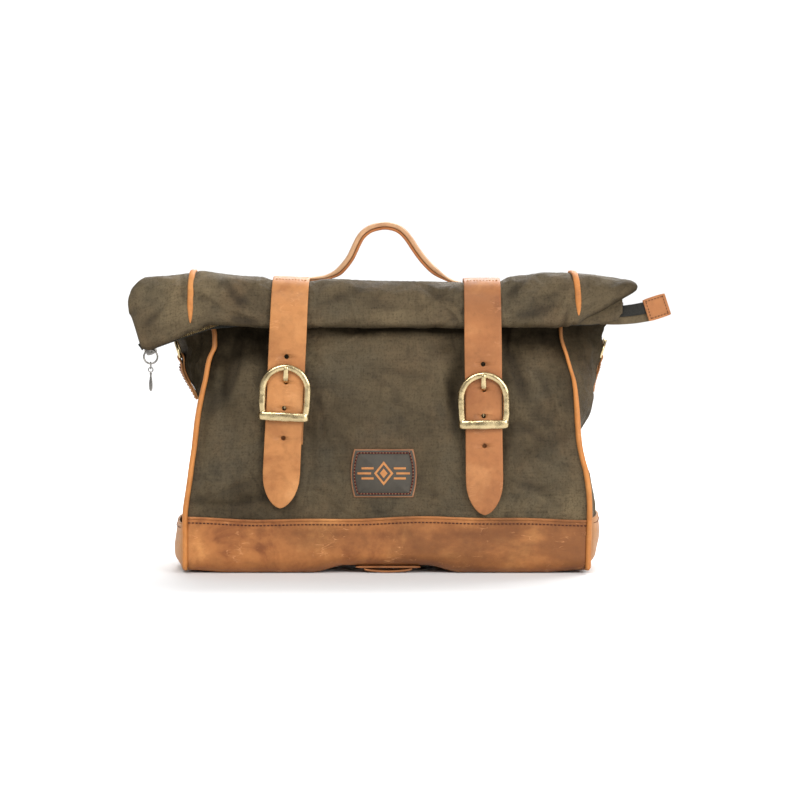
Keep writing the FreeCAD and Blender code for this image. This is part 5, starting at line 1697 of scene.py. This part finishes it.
def build_tail():
    """Free end of the zip: a tape layer with a canvas backing behind it, and the stitched leather end."""
    low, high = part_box("zip_tail_tape")
    joint = next(j for j in frame["joints"] if j["name"] == "zip_tail_bend")
    start = Vector(joint["pos_m"]) - Vector((12 * MM, 0, 1.2 * MM))
    end = Vector((high.x + 1 * MM, ZIP_Y, high.z - 9.0 * MM))
    sink = Vector((0, 0, 1.6 * MM))
    line = resample([start, start.lerp(end, 0.35) - sink, start.lerp(end, 0.7) - sink, end], 1.5 * MM)
    layers = (("zip_tail_band", 2.6, 5.4, 0.0, 2.2, TAPE), ("zip_tail_backing", -5.0, 5.2, 1.3, 1.0, CANVAS))
    for name, lift, half_height, back, thick, material in layers:
        rings = []
        for i, p in enumerate(line):
            t = i / (len(line) - 1)
            before, after = line[max(i - 1, 0)], line[min(i + 1, len(line) - 1)]
            forward = (after - before).normalized()
            up = Vector((-forward.z, 0, forward.x))
            grow = mix(0.94, 1.06, t)
            half = half_height * grow * MM
            ring = []
            for a, b in rounded(2 * half, thick * MM, 6.0, 32):
                groove = -0.4 * thick * MM * spot(a / half, 0.02, 0.10)
                ridge = 0.3 * thick * MM * spot(a / half, 0.30, 0.16)
                ring.append(p + up * (a + lift * grow * MM) + Vector((0, back * MM + b + math.copysign(groove + ridge, b), 0)))
            rings.append(ring)
        tape = tube(name, rings)
        wear(tape, material)
        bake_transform(tape)
        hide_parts("zip_tail_tape")

    tab_low, tab_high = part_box("zip_end_tab")
    centre = (tab_low + tab_high) / 2 - Vector((0, 0, 2.6 * MM))
    tilt = math.radians(18)
    side, up = Vector((math.cos(tilt), 0, math.sin(tilt))), Vector((-math.sin(tilt), 0, math.cos(tilt)))
    half = 11 * MM
    layers = []
    for dy in (-1, 1):
        path = [centre + side * (half * (2 * k / 20 - 1)) + Vector((0, dy * 1.75 * MM, 0)) for k in range(21)]
        rings = []
        for k, p in enumerate(path):
            edge = 0.93 + 0.07 * math.sin(math.pi * k / 20) ** 0.4
            rings.append([p + up * a * edge + Vector((0, b + 0.25 * MM * hum(p, 0.01, dy), 0))
                          for a, b in rounded(2 * half, 1.9 * MM, 7.0, 28)])
        layers.append(tube("layer", rings))
    tab = merge("zip_tail_leather", layers)
    wear(tab, WORN_LEATHER)
    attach(tab, "zip_tail")
    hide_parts("zip_end_tab")
    places = []
    reach = half - 2.6 * MM
    for dy in (-1, 1):
        corners = [(-reach, -reach), (reach, -reach), (reach, reach), (-reach, reach), (-reach, -reach)]
        points = [centre + side * a + up * b + Vector((0, dy * 2.75 * MM, 0)) for a, b in corners]
        for a, b in zip(points, points[1:]):
            places += along_path([a, b], 3.0 * MM, (0, dy, 0))
    row = stitch_row("zip_tail_stitches", places, 2.1 * MM, 0.75 * MM, THREAD_DARK)
    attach(row, "zip_tail")


# ---------------------------------------------------------------- rings, loops, label
def settled(p, pivot, down, out, side):
    """Bends a side tab from its ring down onto the gusset: the left one to the front, the right one to the back."""
    reach = (p - pivot).dot(down)
    off = (p - pivot).dot(out)
    middle = p - out * off
    near = ease(reach / (15 * MM))
    middle.y += 13 * MM * ease(reach / (26 * MM)) if side > 0 else -9 * MM * ease((reach - 16 * MM) / (24 * MM))
    front, back = seam_point(side, True, middle.z), seam_point(side, False, middle.z)
    rest = gusset_point(side, (middle.y - front.y) / (back.y - front.y), middle.z)
    rest.x += side * 2.6 * MM
    return middle.lerp(rest, near) + out * off


def build_rings():
    for side, word in ((-1, "left"), (1, "right")):
        joint = next(j for j in frame["joints"] if j["name"] == f"{word}_ring_swing")
        pivot = Vector(joint["pos_m"])
        lean = math.atan2(12, 35)
        up = Vector((side * math.sin(lean), 0, math.cos(lean)))
        across = Vector((0, 1, 0))
        points = []
        for k in range(13):
            points.append(pivot + across * mix(-13, 13, k / 12) * MM)
        for k in range(1, 24):
            a = math.pi * k / 24
            points.append(pivot + up * 6 * MM + across * 13 * MM * math.cos(a) + up * 13 * MM * math.sin(a))
        ring = closed_wire(f"side_ring_{word}", points, 1.5 * MM, 12)
        wear(ring, BRASS)
        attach(ring, f"{word}_ring")
        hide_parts(f"d_ring_{word}")

        node = f"d_ring_tab_{word}"
        down = -up
        out = Vector((side * math.cos(lean), 0, -math.sin(lean)))
        length = 36 if side > 0 else 43
        path = [pivot + down * length * MM + out * 0.9 * MM, pivot + down * 20 * MM + out * 1.1 * MM, pivot + down * 7 * MM + out * 1.3 * MM,
                pivot + down * 2.5 * MM + out * 2.3 * MM, pivot + out * 2.7 * MM, pivot + up * 1.9 * MM + out * 1.9 * MM,
                pivot + up * 2.7 * MM, pivot + up * 1.9 * MM - out * 1.9 * MM, pivot - out * 2.7 * MM,
                pivot + down * 3.0 * MM - out * 2.2 * MM, pivot + down * 8 * MM - out * 1.2 * MM,
                pivot + down * 20 * MM - out * 1.0 * MM, pivot + down * length * MM - out * 0.9 * MM]
        line = resample(path, 1.2 * MM)
        rings = []
        for i, p in enumerate(line):
            before, after = line[max(i - 1, 0)], line[min(i + 1, len(line) - 1)]
            forward = (after - before).normalized()
            rise = forward.cross(across).normalized()
            rings.append([settled(p + across * a + rise * b, pivot, down, out, side)
                          for a, b in rounded(20 * MM, 1.8 * MM, 7.0, 24)])
        tab = tube(f"side_tab_{word}", rings)
        wear(tab, STRAP_LEATHER)
        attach(tab, BAG)
        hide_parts(node)
        places = []
        for y in (-7.2, 7.2):
            a = pivot + down * 6 * MM + out * 2.3 * MM + across * y * MM
            b = pivot + down * (length - 2) * MM + out * 1.9 * MM + across * y * MM
            places += along_path([a, b], 3.0 * MM, tuple(out))
        for d in (10, length - 2):
            a = pivot + down * d * MM + out * 2.05 * MM - across * 7 * MM
            b = pivot + down * d * MM + out * 2.05 * MM + across * 7 * MM
            places += along_path([a, b], 3.0 * MM, tuple(out))
        lie = lambda p: settled(p, pivot, down, out, side)
        places = [(lie(p), (lie(p + d * MM) - lie(p)).normalized(), out) for p, d, o in places]
        row = stitch_row(f"side_tab_stitches_{word}", places, 2.1 * MM, 0.75 * MM, THREAD_RED)
        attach(row, BAG)


def build_rear_loops():
    for side, word in ((-1, "left"), (1, "right")):
        node = f"rear_loop_{word}"
        low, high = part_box(node)
        x = (low.x + high.x) / 2
        y = low.y + 1.5 * MM
        out = high.y - 1.5 * MM
        path = [(y, low.z), (y, low.z + 8 * MM), (y + 0.3 * MM, low.z + 15 * MM), (out - 0.6 * MM, low.z + 22 * MM),
                (out, low.z + 34 * MM), (out, high.z - 34 * MM), (out - 0.6 * MM, high.z - 22 * MM),
                (y + 0.3 * MM, high.z - 15 * MM), (y, high.z - 8 * MM), (y, high.z)]
        line = resample([(x, a, b) for a, b in path], 1.8 * MM)
        rings = []
        for i, p in enumerate(line):
            before, after = line[max(i - 1, 0)], line[min(i + 1, len(line) - 1)]
            forward = (after - before).normalized()
            rise = Vector((0, forward.z, -forward.y))
            s = i / (len(line) - 1)
            end = min(1.0, math.sin(math.pi * min(s, 1 - s) / 0.10 / 2)) if min(s, 1 - s) < 0.10 else 1.0
            width = (high.x - low.x) * (0.86 + 0.14 * end)
            rings.append([p + Vector((a, 0, 0)) + rise * b for a, b in rounded(width, 3 * MM, 7.0, 28)])
        obj = tube(f"mount_loop_{word}", rings)
        wear(obj, STRAP_LEATHER)
        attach(obj, BAG)
        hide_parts(node)
        places = []
        for z0, z1 in ((low.z + 2.5 * MM, low.z + 14 * MM), (high.z - 14 * MM, high.z - 2.5 * MM)):
            x0, x1 = low.x + 3 * MM, high.x - 3 * MM
            face = low.y + 3.05 * MM
            corners = [(x0, z0), (x1, z0), (x1, z1), (x0, z1), (x0, z0)]
            for (xa, za), (xb, zb) in zip(corners, corners[1:]):
                places += along_path([Vector((xa, face, za)), Vector((xb, face, zb))], 3.2 * MM, (0, 1, 0))
        row = stitch_row(f"mount_loop_stitches_{word}", places, 2.3 * MM, 0.8 * MM, THREAD_DARK)
        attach(row, BAG)
    paint_node("rear_loop_rivets", BRASS)


def build_bottom_loop():
    """Patch under the base and the half-round loop below it."""
    low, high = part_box("bottom_patch")
    top = high.z
    x0, x1 = low.x + SHIFT_X * 0.5, high.x + SHIFT_X * 0.5
    front = -62 * MM
    rings = []
    for k in range(33):
        t = k / 32
        x = mix(x0, x1, t)
        end = min(1.0, (math.sin(math.pi * min(t, 1 - t) / 0.12 / 2) if min(t, 1 - t) < 0.06 else 1.0) + 0.3)
        rings.append([Vector((x, (front + 22 * MM) / 2 + a, top - 1.2 * MM + b * min(1, end)))
                      for a, b in rounded(22 * MM - front, 2.4 * MM, 8.0, 28)])
    patch = tube("under_patch", rings)
    wear(patch, WORN_LEATHER)
    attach(patch, BAG)
    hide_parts("bottom_patch")
    loop_low, loop_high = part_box("bottom_loop")
    rings = []
    for k in range(33):
        t = k / 32
        x = mix(loop_low.x + 3 * MM, loop_high.x - 3 * MM, t) + SHIFT_X * 0.5
        drop = math.sin(math.pi * t) ** 0.6
        z = mix(loop_high.z - 0.6 * MM, loop_low.z + 1.1 * MM, drop)
        rings.append([Vector((x, front + 11 * MM + a, z + b)) for a, b in rounded(20 * MM, 2.2 * MM, 6.0, 24)])
    loop = tube("under_loop", rings)
    wear(loop, WORN_LEATHER)
    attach(loop, BAG)
    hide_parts("bottom_loop")


def label_outline(inset, count=26):
    """Bowed outline of the label, counter-clockwise seen from the front, as (x, z) offsets."""
    low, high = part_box("label_patch")
    half_w, half_h = (high.x - low.x) / 2 - inset, (high.z - low.z) / 2 - inset
    corner = half_w - 3.4 * MM
    radius = 2.6 * MM
    points = []
    for k in range(count + 1):
        t = 2 * k / count - 1
        points.append((corner * t, -half_h))
    for k in range(1, count):
        t = 2 * k / count - 1
        points.append((corner + (half_w - corner) * (1 - t * t), half_h * t))
    for k in range(count + 1):
        t = 1 - 2 * k / count
        points.append((corner * t, half_h))
    for k in range(1, count):
        t = 1 - 2 * k / count
        points.append((-corner - (half_w - corner) * (1 - t * t), half_h * t))
    return points


def slab(name, outline, centre, y_back, y_front, ease_in=0.5 * MM):
    """A thin plate from an outline in X and Z, with a softened front edge."""
    n = len(outline)
    rings = []
    for y, shrink in ((y_back, 0.0), (mix(y_back, y_front, 0.6), 0.0), (mix(y_back, y_front, 0.92), 0.5 * ease_in),
                      (y_front, 1.4 * ease_in)):
        ring = []
        for x, z in outline:
            k = 1 - shrink / max(1e-6, math.hypot(x, z))
            ring.append(Vector((centre[0] + x * k, y, centre[1] + z * k)))
        rings.append(ring)
    return tube(name, rings)


def build_label():
    low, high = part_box("label_patch")
    centre = ((low.x + high.x) / 2, (low.z + high.z) / 2)
    front = low.y - 0.4 * MM
    patch = slab("label_backing", label_outline(0.0), centre, high.y + 1.5 * MM, front, 0.6 * MM)
    wear(patch, RIM_LEATHER)
    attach(patch, BAG)
    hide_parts("label_patch")
    face = slab("label_face", label_outline(1.1 * MM), centre, high.y, front - 0.35 * MM, 0.2 * MM)
    wear(face, LABEL_LEATHER)
    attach(face, BAG)
    line = [Vector((centre[0] + x, front - 0.45 * MM, centre[1] + z)) for x, z in label_outline(3.5 * MM)]
    line.append(line[0])
    places = along_path(line, 3.0 * MM, (0, -1, 0))
    slanted = [(p, (d + 0.45 * d.cross(o)).normalized(), o) for p, d, o in places]
    row = stitch_row("label_stitches", slanted, 2.5 * MM, 1.7 * MM, THREAD_RED)
    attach(row, BAG)
    between = [(p + d * 1.5 * MM, (d - 0.6 * d.cross(o)).normalized(), o) for p, d, o in places]
    pulled = stitch_row("label_pulled_leather", between, 1.9 * MM, 1.0 * MM, RIM_LEATHER)
    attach(pulled, BAG)
    # plain generic motif: a lozenge between two bars
    y = front - 0.45 * MM
    shapes = []
    for size, hole in ((11.5, 8.4), (4.6, 0.0)):
        outer = [(0, size), (-size * 0.8, 0), (0, -size), (size * 0.8, 0)]
        if hole:
            inner = [(0, hole), (-hole * 0.8, 0), (0, -hole), (hole * 0.8, 0)]
            for k in range(4):
                a, b = outer[k], outer[(k + 1) % 4]
                c, d = inner[(k + 1) % 4], inner[k]
                shapes.append([a, b, c, d])
        else:
            shapes.append(outer)
    for side in (-1, 1):
        for z in (-4.8, 0.0, 4.8):
            x0, x1 = sorted((side * (12.0 - 0.5 * abs(z)), side * (25.0 - 0.8 * abs(z))))
            shapes.append([(x0, z + 1.0), (x0, z - 1.0), (x1, z - 1.0), (x1, z + 1.0)])
    verts, faces = [], []
    for shape in shapes:
        start = len(verts)
        n = len(shape)
        for dy in (0.25, -0.12):
            for x, z in shape:
                verts.append((centre[0] + x * MM, y + dy * MM, centre[1] + z * MM))
        faces.append(tuple(start + i for i in reversed(range(n))))
        faces.append(tuple(start + n + i for i in range(n)))
        for i in range(n):
            faces.append((start + i, start + (i + 1) % n, start + n + (i + 1) % n, start + n + i))
    motif = face_out(new_object("label_motif", verts, faces, smooth=False))
    wear(motif, STRAP_LEATHER)
    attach(motif, BAG)


def paint_node(node, material):
    """A CAD node whose shape is right keeps it and gets its real material."""
    mesh = frame["nodes"][node].data
    mesh.materials.clear()
    mesh.materials.append(material)


def paint_hidden():
    paint_node("inner_pocket", LINING)
    for node in ("base_board", "back_board"):
        paint_node(node, BOARD)
    for word in ("left", "right"):
        paint_node(f"snap_stud_{word}", BRASS)
        paint_node(f"snap_socket_{word}", BRASS)


# ---------------------------------------------------------------- studio
def aim(obj, target):
    obj.rotation_euler = (Vector(target) - obj.location).to_track_quat("-Z", "Y").to_euler()


def area_light(name, place, target, size, power, colour=(1, 1, 1)):
    data = bpy.data.lights.new(name, "AREA")
    data.shape = "RECTANGLE"
    data.size, data.size_y = size
    data.energy = power
    data.color = colour
    light = bpy.data.objects.new(name, data)
    bpy.context.scene.collection.objects.link(light)
    light.location = place
    aim(light, target)
    return light


def build_studio():
    def point(u, v):
        # floor that sweeps up into a backdrop
        x = mix(-6, 6, u)
        run = v * 9.0
        y = -4.0 + run
        z = 0.0
        if y > 2.2:
            a = min(math.pi / 2, (y - 2.2) / 1.2)
            z = 1.2 * (1 - math.cos(a)) + max(0.0, y - 2.2 - 1.2 * math.pi / 2)
            y = 2.2 + 1.2 * math.sin(a)
        return Vector((x, y, z - 0.2 * MM))

    floor = sheet("studio_sweep", point, 40, 160, (12, 9))
    floor.data.materials.append(studio_floor())
    world = bpy.data.worlds.new("studio")
    bpy.context.scene.world = world
    world.use_nodes = True
    world.node_tree.nodes["Background"].inputs[0].default_value = (1, 1, 1, 1)
    world.node_tree.nodes["Background"].inputs[1].default_value = 0.42
    area_light("key", (-0.7, -2.0, 1.9), (0, 0, 0.12), (1.4, 1.0), 39)
    area_light("fill", (1.5, -1.8, 1.0), (0, 0, 0.15), (1.6, 1.2), 37)
    area_light("top", (0.5, 1.1, 1.5), (0, 0, 0.1), (2.0, 1.6), 58)
    area_light("backdrop", (0.0, 1.2, 2.6), (0, 3.0, 0.8), (4.0, 1.0), 60)
    view = bpy.context.scene.view_settings
    view.view_transform = "Standard"
    view.look = "None"


def build_camera():
    """Long lens, almost level with the bag."""
    data = bpy.data.cameras.new("camera")
    camera = bpy.data.objects.new("camera", data)
    bpy.context.scene.collection.objects.link(camera)
    data.sensor_width = 36
    distance, rise = 2.6, math.radians(3.0)
    width = 0.760
    target = Vector((9.5 * MM, -70 * MM, 166 * MM))
    data.lens = data.sensor_width * distance / width
    camera.location = target + Vector((0, -distance * math.cos(rise), distance * math.sin(rise)))
    aim(camera, target)
    bpy.context.scene.camera = camera


build_tub()
build_base()
build_roll()
build_neck()
build_flap_cords()
build_wing_lining()
build_straps()
build_handle()
build_zip()
build_rings()
build_rear_loops()
build_bottom_loop()
build_label()
paint_hidden()
build_studio()
build_camera()
